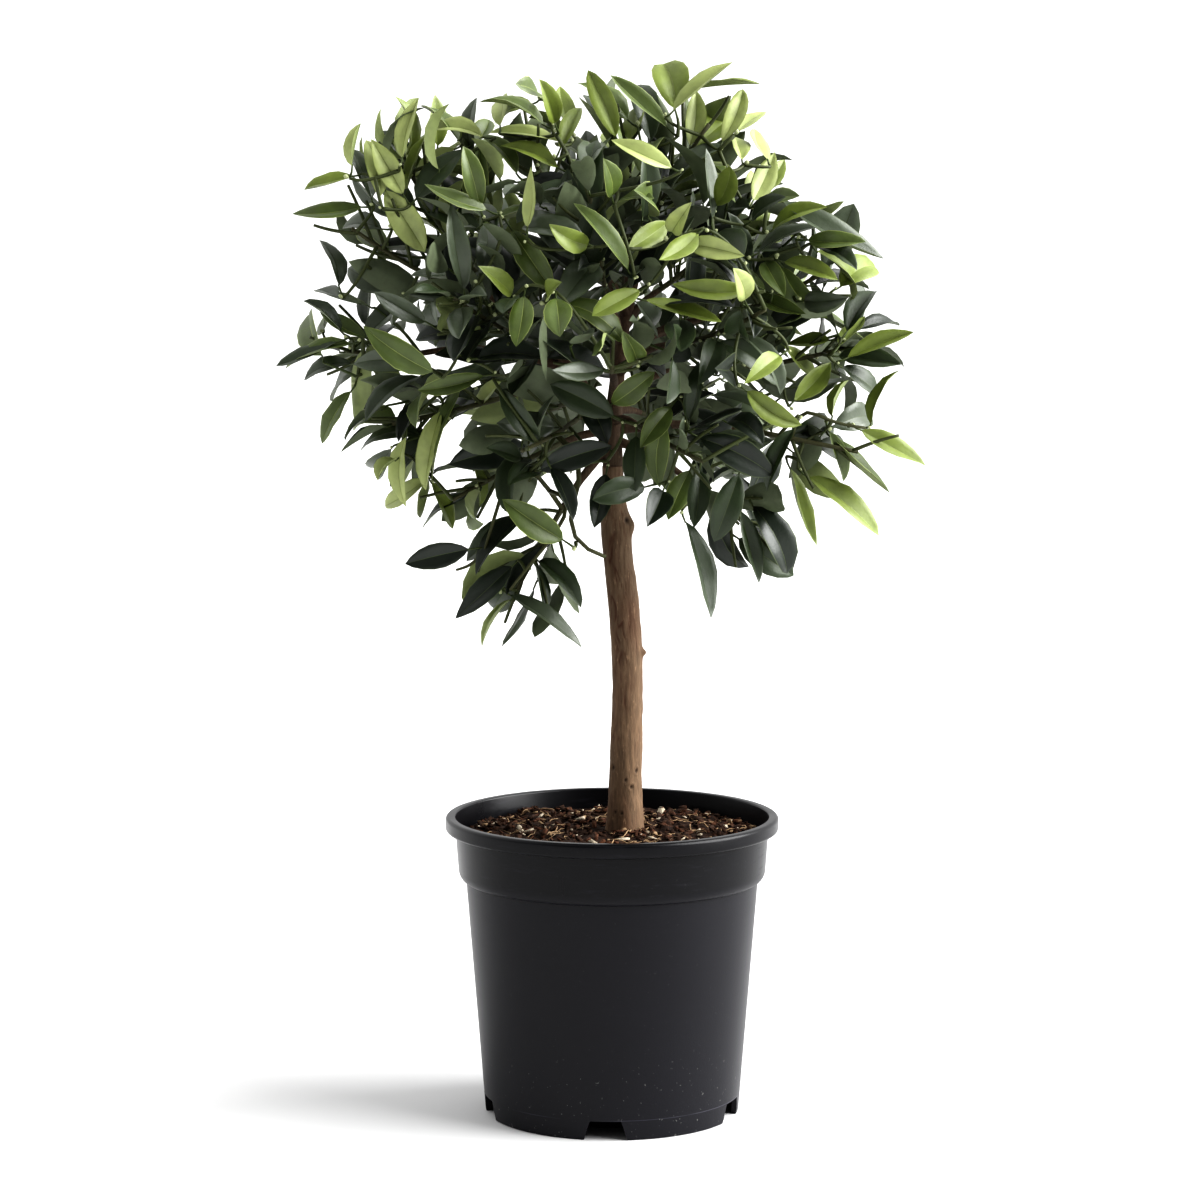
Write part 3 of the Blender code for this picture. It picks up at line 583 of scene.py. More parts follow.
def turned(name, outline, segments, materials, lift=None):
    """A closed body: an outline of radius and height from axis to axis, carried round Z.
    P(i, a) = (radius_i cos a, radius_i sin a, height_i). lift adds heights to its rings."""
    outline = np.asarray(outline)
    rings = outline[1:-1]
    angle = math.tau * np.arange(segments) / segments
    x = rings[:, :1] * np.cos(angle)
    y = rings[:, :1] * np.sin(angle)
    z = np.broadcast_to(rings[:, 1:], x.shape)
    if lift is not None:
        z = z + lift(x, y, rings)
    points = np.stack((x, y, z), -1).reshape(-1, 3)
    points = np.concatenate((points, [(0, 0, outline[0, 1]), (0, 0, outline[-1, 1])]))
    if lift is not None:
        points[-1, 2] = points[-2 - segments:-2, 2].mean()
    quads, ends = tube_faces(1, len(rings), segments)
    return make_piece(name, points, (quads, ends), materials)


# Shader nodes


class Socket:
    """One value or colour in a material. Sums and products of values add Math nodes."""

    def __init__(self, finish, output):
        self.finish = finish
        self.output = output

    def maths(self, operation, first, second):
        return self.finish.node("ShaderNodeMath", {"operation": operation}, {0: first, 1: second})

    def __add__(self, other):
        return self.maths("ADD", self, other)

    def __sub__(self, other):
        return self.maths("SUBTRACT", self, other)

    def __rsub__(self, other):
        return self.maths("SUBTRACT", other, self)

    def __mul__(self, other):
        return self.maths("MULTIPLY", self, other)

    __radd__ = __add__
    __rmul__ = __mul__


class Sheet:
    """A node tree, and the ways to add to it."""

    def __init__(self, owner, shader):
        owner.use_nodes = True
        self.tree = owner.node_tree
        self.shader = self.tree.nodes[shader]

    def node(self, kind, settings, sockets, output=0):
        """A new node: its settings first, then the values or links of its sockets."""
        node = self.tree.nodes.new(kind)
        for key, value in settings.items():
            setattr(node, key, value)
        self.feed(node, sockets)
        return Socket(self, node.outputs[output])

    def feed(self, node, sockets):
        for key, value in sockets.items():
            if isinstance(value, Socket):
                self.tree.links.new(value.output, node.inputs[key])
            else:
                node.inputs[key].default_value = value

    def band(self, value, low, high, first=0.0, last=1.0):
        """The first number below low, the last above high, a straight change between."""
        return self.node("ShaderNodeMapRange", {}, {0: value, 1: low, 2: high, 3: first, 4: last})


class Finish(Sheet):
    """A material and the nodes that it is built from."""

    def __init__(self, name, specular, roughness=0.5):
        self.material = bpy.data.materials.new(name)
        super().__init__(self.material, "Principled BSDF")
        self.feed(self.shader, {"Specular IOR Level": specular, "Roughness": roughness})

    def place(self, stretch=(1.0, 1.0, 1.0)):
        """Object coordinates, stretched along each axis."""
        spots = self.node("ShaderNodeTexCoord", {}, {}, "Object")
        return self.node("ShaderNodeMapping", {}, {"Vector": spots, "Scale": stretch})

    def noise(self, scale, detail=3.0, rough=0.55, stretch=(1.0, 1.0, 1.0)):
        sockets = {"Vector": self.place(stretch), "Scale": scale, "Detail": detail, "Roughness": rough}
        return self.node("ShaderNodeTexNoise", {}, sockets, "Fac")

    def cells(self, scale, stretch=(1.0, 1.0, 1.0), output="Distance"):
        sockets = {"Vector": self.place(stretch), "Scale": scale}
        return self.node("ShaderNodeTexVoronoi", {}, sockets, output)

    def attribute(self, name):
        return self.node("ShaderNodeAttribute", {"attribute_name": name}, {}, "Fac")

    def mix(self, share, first, second):
        """The first colour where share is 0, the second where it is 1."""
        colours = [(*c, 1.0) if not isinstance(c, Socket) else c for c in (first, second)]
        return self.node("ShaderNodeMix", {"data_type": "RGBA"},
                         {0: share, 6: colours[0], 7: colours[1]}, 2)

    def bump(self, height, strength, distance):
        normal = self.node("ShaderNodeBump", {}, {"Height": height, "Strength": strength,
                                                  "Distance": distance})
        self.feed(self.shader, {"Normal": normal})

    def colour(self, value):
        self.feed(self.shader, {"Base Color": value})
        return self

    def roughness(self, value):
        self.feed(self.shader, {"Roughness": value})


def shade(colour, share):
    """A colour times a share, channel by channel."""
    return tuple(channel * share for channel in colour)


def pot_plastic(settings):
    """Black moulded plastic: faint streaks down the wall, smoother above the step with level scuffs
    and painted shade there that darkens collar and flange, the mould's line above the notches, and
    specks of dust near the foot."""
    finish = Finish("pot_plastic", specular=0.26)
    black = tuple(settings.colour)
    streaks = finish.noise(26.0, 4.0, 0.6, (1.0, 1.0, 0.12))
    cloud = finish.noise(9.0, 3.0, 0.5)
    dust = finish.band(finish.noise(420.0, 2.0, 0.7), 0.68, 0.74)
    height = finish.node("ShaderNodeSeparateXYZ", {}, {0: finish.place()}, 2)
    near_foot = 1.0 - finish.band(height, 0.004, 0.055)
    specks = dust * (near_foot * 0.6 + 0.03)
    collar = finish.band(height, STEP_HEIGHT + 0.002, COLLAR_FOOT_HEIGHT)
    line = finish.band(height, 0.0122, 0.0125) * (1.0 - finish.band(height, 0.0127, 0.0130))
    line = line * finish.band(finish.noise(14.0, 3.0, 0.6), 0.42, 0.60)
    scuffs = finish.band(finish.noise(40.0, 4.0, 0.7, (1.0, 1.0, 9.0)), 0.56, 0.80) * (collar + 0.2)
    body = finish.mix(cloud, shade(black, 0.8), shade(black, 1.25))
    # Painted shade: collar and flange, above the step, darkened towards a quarter of the black
    body = finish.mix(collar * 0.75, body, shade(black, 0.25))
    body = finish.mix(scuffs * 0.35, body, shade(black, 3.0))
    body = finish.mix(line * 0.5, body, shade(black, 8.0))
    finish.colour(finish.mix(specks, body, (0.30, 0.30, 0.28)))
    finish.roughness(settings.roughness - 0.07 + streaks * 0.12 + specks * 0.4 + scuffs * 0.12
                     - collar * 0.08)
    finish.bump(streaks * 0.35 + finish.noise(900.0, 2.0) * 0.25 + line, 0.22, 0.0006)
    return finish.material


def mix_material(name, colour, light):
    """Crumbs of peat and bark: painted shade in the hollows, with a dull fibrous grain."""
    finish = Finish(name, specular=0.2)
    crumbs = finish.cells(330.0)
    fibre = finish.noise(210.0, 5.0, 0.65, (1.0, 1.6, 1.0))
    # Painted shade: darker where the fibre noise is low, which also sinks the bump into hollows
    body = finish.mix(finish.band(fibre, 0.38, 0.66), shade(colour, 0.45), colour)
    finish.colour(finish.mix(finish.band(finish.noise(150.0, 3.0, 0.7), 0.60, 0.72), body, light))
    finish.roughness(0.86 + fibre * 0.12)
    finish.bump(crumbs * 0.8 + fibre * 0.5, 0.7, 0.0016)
    return finish.material


def bark_material(name, settings, share=1.0):
    """Brown bark: fine upright grain with light flakes, red-brown fissures and dark scars where
    the relief has them, greyer towards the head. share scales all its colours; below 1 it is
    painted shade."""
    finish = Finish(name, specular=0.28)
    brown = shade(tuple(settings.colour), share)
    red = shade(tuple(settings.fissure_colour), share)
    grain = finish.noise(420.0, 5.0, 0.65, (1.0, 1.0, 0.14))
    flakes = finish.noise(760.0, 3.0, 0.6, (1.0, 1.0, 0.22))
    patches = finish.noise(60.0, 3.0, 0.55, (1.0, 1.0, 0.3))
    height = finish.node("ShaderNodeSeparateXYZ", {}, {0: finish.place()}, 2)
    upper = finish.band(height, SOIL_CUT + 0.06, SOIL_CUT + 0.16)
    ridge = finish.mix(upper * 0.5, brown, (brown[0] * 0.86, brown[1] * 0.98, brown[2] * 1.1))
    body = finish.mix(finish.band(grain, 0.36, 0.64), shade(brown, 0.58), ridge)
    body = finish.mix(finish.band(patches, 0.50, 0.70) * 0.4, body, shade(red, 1.5))
    body = finish.mix(finish.band(flakes, 0.62, 0.70) * 0.5, body, shade(brown, 1.9))
    body = finish.mix(finish.attribute("fissure"), body, red)
    finish.colour(finish.mix(finish.attribute("scar"), body, shade(red, 0.25)))
    finish.roughness(0.72 + grain * 0.2)
    finish.bump(grain + flakes * 0.6, 0.55, 0.0009)
    return finish.material


def twig_material(name, green, brown):
    """Young wood: green at the tips, brown further in, with fine lengthwise grain."""
    finish = Finish(name, specular=0.35)
    wood = finish.attribute("wood")
    grain = finish.noise(520.0, 3.0, 0.6)
    young = finish.mix(grain, shade(green, 0.75), shade(green, 1.2))
    old = finish.mix(grain, shade(brown, 0.6), shade(brown, 1.25))
    finish.colour(finish.mix(wood, young, old))
    finish.roughness(0.5 + wood * 0.25)
    finish.bump(grain, 0.3, 0.0004)
    return finish.material


def leaf_material(name, colour, roughness, spread=0.16):
    """Waxy leaf skin: soft mottling, a satin shine that breaks up and a fine net of veins."""
    finish = Finish(name, specular=0.6)
    mottle = finish.noise(95.0, 3.0, 0.55)
    finish.colour(finish.mix(finish.band(mottle, 0.3, 0.7), shade(colour, 1 - spread),
                             shade(colour, 1 + spread)))
    finish.roughness(roughness - 0.05 + finish.noise(230.0, 2.0, 0.5) * 0.12)
    finish.bump(finish.cells(620.0) * 0.5 + mottle, 0.14, 0.0007)
    return finish.material


def bud_material(colour):
    """Pale buds, a little darker and lighter in a fine random mottle."""
    finish = Finish("bud", specular=0.4, roughness=0.5)
    finish.colour(finish.mix(finish.noise(420.0), shade(colour, 0.75), shade(colour, 1.1)))
    finish.bump(finish.noise(900.0), 0.2, 0.0003)
    return finish.material


def floor_material(colour):
    """Smooth pale studio floor with hardly any mottling."""
    finish = Finish("studio_floor", specular=0.1, roughness=0.9)
    finish.colour(finish.mix(finish.noise(3.0), shade(colour, 0.995), colour))
    return finish.material


# Pot and mix


def wall_radius(height):
    """Outer radius of the pot's tapering wall below its step."""
    return FOOT_RADIUS + (STEP_RADIUS - FOOT_RADIUS) * height / STEP_HEIGHT


def arc(middle_radius, middle_height, radius, start, end, steps=7):
    """Points of a round corner on a turned outline, from one angle in degrees to another."""
    angle = np.radians(np.linspace(start, end, steps + 1))
    return list(zip(middle_radius + radius * np.cos(angle), middle_height + radius * np.sin(angle)))


def pot_outline():
    """Radius and height along the pot: underside, foot ring, wall, step, collar, flange, inside."""
    break_points = arc(FOOT_RADIUS - EDGE_BREAK, EDGE_BREAK, EDGE_BREAK, -90, 0, 5)
    underside = [
        (0.0, 0.0), (PAD_RADIUS - 0.001, 0.0), (PAD_RADIUS, 0.0005),
        (PAD_RADIUS + POT_WALL, CHANNEL_HEIGHT),
        (wall_radius(CHANNEL_HEIGHT) - FOOT_WIDTH, CHANNEL_HEIGHT),
        (FOOT_RADIUS - FOOT_WIDTH, 0.0006), (FOOT_RADIUS - FOOT_WIDTH + 0.0006, 0.0),
    ]
    heights = np.linspace(0.004, STEP_HEIGHT, 16)
    wall = [(wall_radius(height), height) for height in heights]
    bend = COLLAR_FOOT_HEIGHT - STEP_HEIGHT
    overhang = COLLAR_FOOT_RADIUS - STEP_RADIUS
    turn = np.radians(np.linspace(8, 90, 9))
    step = list(zip(STEP_RADIUS + overhang * np.sin(turn), COLLAR_FOOT_HEIGHT - bend * np.cos(turn)))
    flange_foot = POT_TOP - RIM_DEPTH
    collar = [(COLLAR_TOP_RADIUS, flange_foot - FLANGE_CREASE)]
    flange = arc(RIM_RADIUS - FLANGE_ROUND, flange_foot + FLANGE_ROUND, FLANGE_ROUND, -90, 0)
    lip = arc(RIM_RADIUS - LIP_ROUND, POT_TOP - LIP_ROUND, LIP_ROUND, 0, 90)
    inner = RIM_RADIUS - RIM_WIDTH
    lip += arc(inner + EDGE_BREAK, POT_TOP - EDGE_BREAK, EDGE_BREAK, 90, 180, 5)
    roof = CHANNEL_HEIGHT + POT_WALL
    inside = [
        (inner - POT_WALL / 2, flange_foot),
        (COLLAR_FOOT_RADIUS - POT_WALL, COLLAR_FOOT_HEIGHT),
        (wall_radius(STEP_HEIGHT) - POT_WALL, STEP_HEIGHT - POT_WALL),
        (wall_radius(roof) - POT_WALL, roof), (PAD_RADIUS, roof),
        (PAD_RADIUS - POT_WALL, POT_WALL), (0.0, POT_WALL),
    ]
    return underside + break_points + wall + step + collar + flange + lip + inside


def notch_cutters():
    """Wedges through the foot ring, one box of eight corners for each notch, turned round Z."""
    near, far = PAD_RADIUS + 0.012, FOOT_RADIUS + 0.012
    foot, top = NOTCH_FOOT_WIDTH / 2, NOTCH_TOP_WIDTH / 2
    below = -0.004
    slope = (foot - top) / NOTCH_HEIGHT
    foot += slope * -below
    wedge = np.array([(radius, side, height) for radius in (near, far)
                      for side, height in ((-foot, below), (foot, below), (top, NOTCH_HEIGHT),
                                           (-top, NOTCH_HEIGHT))])
    turn = NOTCH_TURN + math.tau * np.arange(NOTCH_COUNT)[:, None] / NOTCH_COUNT
    x = wedge[:, 0] * np.cos(turn) - wedge[:, 1] * np.sin(turn)
    y = wedge[:, 0] * np.sin(turn) + wedge[:, 1] * np.cos(turn)
    z = np.broadcast_to(wedge[:, 2], x.shape)
    sides = np.array(((3, 2, 1, 0), (4, 5, 6, 7), (0, 1, 5, 4), (1, 2, 6, 5), (2, 3, 7, 6),
                      (3, 0, 4, 7)))
    faces = (8 * np.arange(NOTCH_COUNT)[:, None, None] + sides).reshape(-1, 4)
    return make_piece("notch_cutters", np.stack((x, y, z), -1).reshape(-1, 3), (faces,), ())


def cut_away(obj, cutter):
    """Takes the cutter out of a piece, keeps the result as its mesh and drops the cutter."""
    modifier = obj.modifiers.new("notches", "BOOLEAN")
    modifier.operation = "DIFFERENCE"
    modifier.solver = "EXACT"
    modifier.object = cutter
    bpy.context.view_layer.update()
    result = bpy.data.meshes.new_from_object(
        obj.evaluated_get(bpy.context.evaluated_depsgraph_get()))
    obj.modifiers.remove(modifier)
    spent = obj.data
    obj.data = result
    bpy.data.meshes.remove(spent)
    mesh = cutter.data
    bpy.data.objects.remove(cutter)
    bpy.data.meshes.remove(mesh)


def mix_height(x, y):
    """Height of the mix at a place: its gentle dome and lumps of two sizes."""
    radius = np.hypot(x, y)
    slope = np.array(MIX_SLOPE)[::-1]
    draw = np.random.default_rng(41)
    fade = np.clip((0.0944 - radius) / 0.006, 0.0, 1.0)
    lumps = 0.0024 * plane_noise(draw, x, y, 0.011) + 0.0015 * plane_noise(draw, x, y, 0.0048)
    lumps += 0.0006 * plane_noise(draw, x, y, 0.0022)
    return np.interp(radius, slope[:, 0], slope[:, 1]) + lumps * fade - 0.0004


def mix_outline():
    """Radius and height of the filling: it follows the pot's inside with a gap."""
    roof = CHANNEL_HEIGHT + POT_WALL + GAP
    top = COLLAR_FOOT_RADIUS - POT_WALL - MIX_SLACK
    sides = [
        (0.0, POT_WALL + GAP), (PAD_RADIUS - POT_WALL - MIX_SLACK, POT_WALL + GAP),
        (PAD_RADIUS - MIX_SLACK, roof), (wall_radius(roof) - POT_WALL - MIX_SLACK, roof),
        (wall_radius(STEP_HEIGHT) - POT_WALL - MIX_SLACK, STEP_HEIGHT - POT_WALL - MIX_SLACK),
        (top, COLLAR_FOOT_HEIGHT), (top, MIX_SLOPE[0][1] - 0.001),
    ]
    radii = np.linspace(0.0940, 0.0015, 68)
    return sides + [(radius, 0.0) for radius in radii] + [(0.0, 0.0)], len(sides)


def chip_mesh(count, seed):
    """Corners, faces and tints of bark chips: boxes with shifted corners, turned any way and laid
    on the mix. P = place + turn (sx, sy, sz) corner."""
    draw = np.random.default_rng(seed)
    radius = 0.0925 * np.sqrt(draw.uniform(0.02, 1.0, count))
    angle = draw.uniform(0.0, math.tau, count)
    x, y = radius * np.cos(angle), radius * np.sin(angle)
    size = 0.0011 * np.exp(draw.uniform(0.0, 1.25, count))
    yaw = draw.uniform(0.0, math.tau, count)
    shown = min(len(SEEN_CHIPS), count)
    for index, (column, row, wide, heading) in enumerate(SEEN_CHIPS[:shown]):
        x[index], y[index] = ground_spot(column, row, MIX_SLOPE[2][1])[:2]
        size[index], yaw[index] = wide, heading
    shape = np.stack((draw.uniform(1.0, 2.6, count), draw.uniform(0.5, 1.1, count),
                      draw.uniform(0.25, 0.6, count)), 1) * size[:, None] / 2
    box = np.array([(i, j, k) for i in (-1, 1) for j in (-1, 1) for k in (-1, 1)], float)
    corners = box + draw.uniform(-0.35, 0.35, (count, 8, 3))
    corners = corners * shape[:, None]
    tilt = draw.normal(0.0, 0.45, count)
    lie = np.stack((np.cos(yaw) * np.cos(tilt), np.sin(yaw) * np.cos(tilt), np.sin(tilt)), 1)
    across, up = side_frame(lie, np.broadcast_to(UP, lie.shape))
    turned_corners = (corners[..., :1] * lie[:, None] + corners[..., 1:2] * -up[:, None]
                      + corners[..., 2:] * across[:, None])
    place = np.stack((x, y, mix_height(x, y) + size * 0.22), 1)
    points = (place[:, None] + turned_corners).reshape(-1, 3)
    sides = np.array(((0, 1, 3, 2), (4, 6, 7, 5), (0, 4, 5, 1), (2, 3, 7, 6), (0, 2, 6, 4),
                      (1, 5, 7, 3)))
    faces = (8 * np.arange(count)[:, None, None] + sides).reshape(-1, 4)
    tint = draw.choice(4, count, p=CHIP_SHARES)
    tint[:shown] = 3
    return points, faces, np.repeat(tint, 6)


def fibre_paths(count, seed):
    """Curved fibres that lie on the mix: arcs of a random bend, a little above its lumps."""
    draw = np.random.default_rng(seed)
    radius = 0.085 * np.sqrt(draw.uniform(0.03, 1.0, count))
    angle = draw.uniform(0.0, math.tau, count)
    x, y = radius * np.cos(angle), radius * np.sin(angle)
    length = draw.uniform(0.006, 0.024, count)
    yaw, bend = draw.uniform(0.0, math.tau, count), draw.uniform(-2.4, 2.4, count)
    # Three long ones that the picture shows: place, length, heading and bend
    for index, row in enumerate(((-0.0575, -0.020, 0.034, 0.5, 1.9), (0.0, -0.0835, 0.026, 0.1, 0.9),
                                 (0.048, -0.070, 0.030, 0.3, -1.3))):
        x[index], y[index], length[index], yaw[index], bend[index] = row
    s = np.linspace(-0.5, 0.5, 7)
    heading = yaw[:, None] + bend[:, None] * s
    step = length[:, None] / 7
    px = x[:, None] + np.cumsum(np.cos(heading) * step, 1) - np.cos(yaw)[:, None] * length[:, None] / 2
    py = y[:, None] + np.cumsum(np.sin(heading) * step, 1) - np.sin(yaw)[:, None] * length[:, None] / 2
    over = np.hypot(px, py)
    inside = np.minimum(1.0, 0.0915 / np.maximum(over, 1e-6))
    px, py = px * inside, py * inside
    pz = mix_height(px, py) + 0.0008 + draw.uniform(0.0, 0.0016, count)[:, None] * (0.3 + s + 0.5)
    return np.stack((px, py, pz), -1), draw.uniform(0.00022, 0.0005, count)


# Trunk and boughs


def trunk_line(height):
    """Lean and radius at heights above the cut: straight between the stations, then smoothed by
    the mean over 7 mm each way."""
    spread = np.linspace(-0.007, 0.007, 15)
    around = height[:, None] + spread
    lean = np.interp(around, TRUNK_STATIONS[:, 0], TRUNK_STATIONS[:, 1]).mean(1)
    around = np.maximum(around, height[:, None] * 0.4)
    radius = np.interp(around, TRUNK_STATIONS[:, 0], TRUNK_STATIONS[:, 2]).mean(1)
    return lean, radius


def trunk_grid(settings, rings=250, sides=112):
    """P(a, h) = (lean + r cos a, r sin a, cut + h) with r = radius + lobes + lumps - fissures."""
    draw = np.random.default_rng(7)
    height = np.linspace(-0.006, TRUNK_STATIONS[-1, 0] + 0.003, rings)
    lean, radius = trunk_line(height)
    turn = np.arange(sides) / sides
    t, h = np.meshgrid(turn, (height - height[0]) / (height[-1] - height[0]))
    bent = t + 0.035 * ring_noise(draw, t, h, 6, 16) + 0.008 * ring_noise(draw, t, h, 9, 60)
    ridges = 1.0 - np.abs(ring_noise(draw, bent, h, 34, 13))
    ridges = ridges**4 * np.clip(0.7 + 0.9 * ring_noise(draw, t, h, 20, 48), 0.0, 1.0)
    fine = 1.0 - np.abs(ring_noise(draw, bent, h, 56, 60))
    lumps = ring_noise(draw, t, h, 5, 12) * 0.00045 + ring_noise(draw, t, h, 11, 34) * 0.00022
    patch = np.clip(0.35 + 0.65 * ring_noise(draw, t, h, 4, 7), 0.0, 1.0)
    azimuth = np.degrees(t * math.tau)
    front = np.exp(-((np.mod(azimuth - 245.0 + 180.0, 360.0) - 180.0) / 26.0) ** 2)
    reach = np.clip((height[:, None] - 0.05) / 0.03, 0, 1) * np.clip((0.19 - height[:, None]) / 0.02, 0, 1)
    patch = np.clip(patch + front * reach, 0.0, 1.2)
    fissure = np.clip(ridges * patch, 0.0, 1.0)
    relief = lumps - settings.relief * (fissure * 0.9 + 0.22 * fine**2)
    flare = np.exp(-np.maximum(height[:, None], 0.0) / 0.010)
    relief += flare * 0.0011 * (0.3 + np.sin(azimuth / 57.3 * 4 + 0.7)) * 0.6
    scar = np.zeros_like(relief)
    for mark_turn, mark_height, rise, wide, tall in TRUNK_MARKS:
        away = (np.mod(azimuth - mark_turn + 180.0, 360.0) - 180.0) / 57.3 * radius[:, None] / wide
        along = (height[:, None] - mark_height) / tall
        bell = np.exp(-(away**2 + along**2))
        relief += rise * bell
        if rise < 0:
            scar = np.maximum(scar, np.clip(bell * 1.3 - 0.25, 0, 1))
            relief += -rise * 0.5 * np.exp(-((np.sqrt(away**2 + along**2) - 1.7) / 0.5) ** 2)
    r = radius[:, None] + relief
    angle = t * math.tau
    x, y = lean[:, None] + r * np.cos(angle), r * np.sin(angle)
    z = np.broadcast_to(SOIL_CUT + height[:, None], x.shape)
    points = np.stack((x, y, z), -1).reshape(-1, 3)
    poles = np.array(((lean[0], 0, SOIL_CUT + height[0]), (lean[-1], 0, SOIL_CUT + height[-1] + 0.001)))
    faces = tube_faces(1, rings, sides)
    pad = np.zeros(2)
    marks = (np.append(fissure.ravel(), pad), np.append(scar.ravel(), pad))
    return np.concatenate((points, poles)), faces, marks


def mass_tip(name):
    turn, reach, height, _, _ = MASSES[name]
    return polar(turn, reach, height)


class Space:
    """A mass's cell of the head, with planes halfway to the neighbouring masses."""

    def __init__(self, name, middles):
        self.middle = middles[name]
        self.size = MASSES[name][3]
        others = [other for other in MASSES if other != name]
        between = np.array([middles[other] - self.middle for other in others])
        sizes = np.array([MASSES[other][3] for other in others])
        away = np.linalg.norm(between, axis=1)
        self.normals = between / away[:, None]
        self.limits = (away**2 + self.size**2 - sizes**2) / 2 / away

    def depth(self, points):
        """How far points lie inside the nearest wall of the cell: limit - offset . normal."""
        return (self.limits - (points - self.middle) @ self.normals.T).min(axis=-1)

    def holds(self, points):
        near = np.linalg.norm(points - self.middle, axis=-1) < self.size * SPACE_REACH + 0.004
        return near & (self.depth(points) > -SPACE_SLACK)


def mass_middles():
    """The middle of each mass lies behind its tip, towards the heart of the head."""
    middles = {}
    for name, row in MASSES.items():
        tip = mass_tip(name)
        middles[name] = tip + unit(HEAD_HEART - tip) * row[3]
    return middles


def bough_end(space, start):
    """The point on the way to the mass's middle where the bough has just entered its space."""
    share = 1.0
    while share > SHORTEST_BOUGH:
        if space.depth(start + (space.middle - start) * share) < ENTRY_DEPTH:
            break
        share -= BOUGH_CUT
    return start + (space.middle - start) * min(share + BOUGH_CUT, LONGEST_BOUGH)


def bough_paths(spaces):
    """Path and radii of every bough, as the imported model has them, with finer steps."""
    lean = TRUNK_STATIONS[:, 1]
    fork = np.array((lean[-1], 0.0, SOIL_CUT + TRUNK_STATIONS[-1, 0]))
    below = np.array((lean[-2], 0.0, SOIL_CUT + TRUNK_STATIONS[-2, 0]))
    rise = unit(fork - below)
    paths = {}
    for name, (turn, reach, height, thick, thin) in MAIN_BOUGHS.items():
        end = polar(turn, reach, height)
        start = fork + rise * GAP if name == "leader" else fork - rise * FORK_DROP
        bend = start + rise * np.linalg.norm(end - start) * FORK_BEND
        paths[name] = (curve_between(start, bend, end, 5), (thick, thin))
    for parent in MAIN_BOUGHS:
        ordered = sorted((name for name, row in MASSES.items() if row[4] == parent),
                         key=lambda name: MASSES[name][2])
        for index, name in enumerate(ordered[:-1]):
            share = FIRST_BRANCH + (LAST_BRANCH - FIRST_BRANCH) * index / (len(ordered) - 2)
            start = point_along(paths[parent][0], share)
            end = bough_end(spaces[name], start)
            lift = BOUGH_LIFT if end[2] > start[2] else HANGING_LIFT
            middle = (start + end) / 2 + UP * lift * np.linalg.norm(end - start)
            paths[name] = (curve_between(start, middle, end, 9), SIDE_BOUGH_RADII)
        paths[ordered[-1]] = (paths[parent][0], None)
    return paths


# Leaves


def leaf_profile(along, blunt):
    """Half-width of a leaf from 0 to 1: v^0.8 (1-v)^blunt over its highest value."""
    peak = 0.8 / (0.8 + blunt)
    top = peak**0.8 * (1 - peak) ** blunt
    return along**0.8 * np.maximum(1 - along, 0.0) ** blunt / top


def blade_points(leaf, columns, rows):
    """Points of leaf blades on a grid. The middle line is an arc of total bend curl, whose chord
    runs from root to tip; each half rises by the fold and bulges; the margin waves a little.
    P(u, v) = line(v) + across u w cos f + normal (|u| w sin f + bulge + wave)."""
    d, n = leaf["direction"][:, None], leaf["normal"][:, None]
    a = np.cross(d, n)
    size = leaf["length"][:, None]
    curl = leaf["curl"][:, None]
    curl = np.where(np.abs(curl) < 0.02, 0.02, curl)
    bend = curl * (rows - 0.5)
    chord = 2 * np.sin(curl / 2) / curl
    forward = (np.sin(bend) + np.sin(curl / 2)) / curl / chord
    sink = (np.cos(curl / 2) - np.cos(bend)) / curl / chord
    line = leaf["root"][:, None] + (size * forward)[..., None] * d - (size * sink)[..., None] * n
    line = line + (leaf["sweep"][:, None] * size * 4 * rows * (1 - rows))[..., None] * a
    normal = np.sin(bend)[..., None] * d + np.cos(bend)[..., None] * n
    turn = (leaf["twist"][:, None] * (rows - 0.5))[..., None]
    across = a * np.cos(turn) + normal * np.sin(turn)
    normal = normal * np.cos(turn) - a * np.sin(turn)
    half = leaf["width"][:, None] / 2 * leaf_profile(rows, leaf["blunt"][:, None])
    u, side = columns, np.abs(columns)
    fold = leaf["fold"][:, None, None]
    w = half[..., None]
    wave = leaf["wave"][:, None] * size * np.sin(math.tau * (rows * leaf["waves"][:, None]
                                                             + leaf["phase"][:, None]))
    wave = wave * 4 * rows * (1 - rows)
    rise = side * w * np.sin(fold) + w * 0.16 * np.sin(math.pi * np.minimum(side, 1.0))
    rise = rise + wave[..., None] * side**2
    flat = u * w * np.cos(fold)
    return (line[:, :, None] + flat[..., None] * across[:, :, None]
            + rise[..., None] * normal[:, :, None])


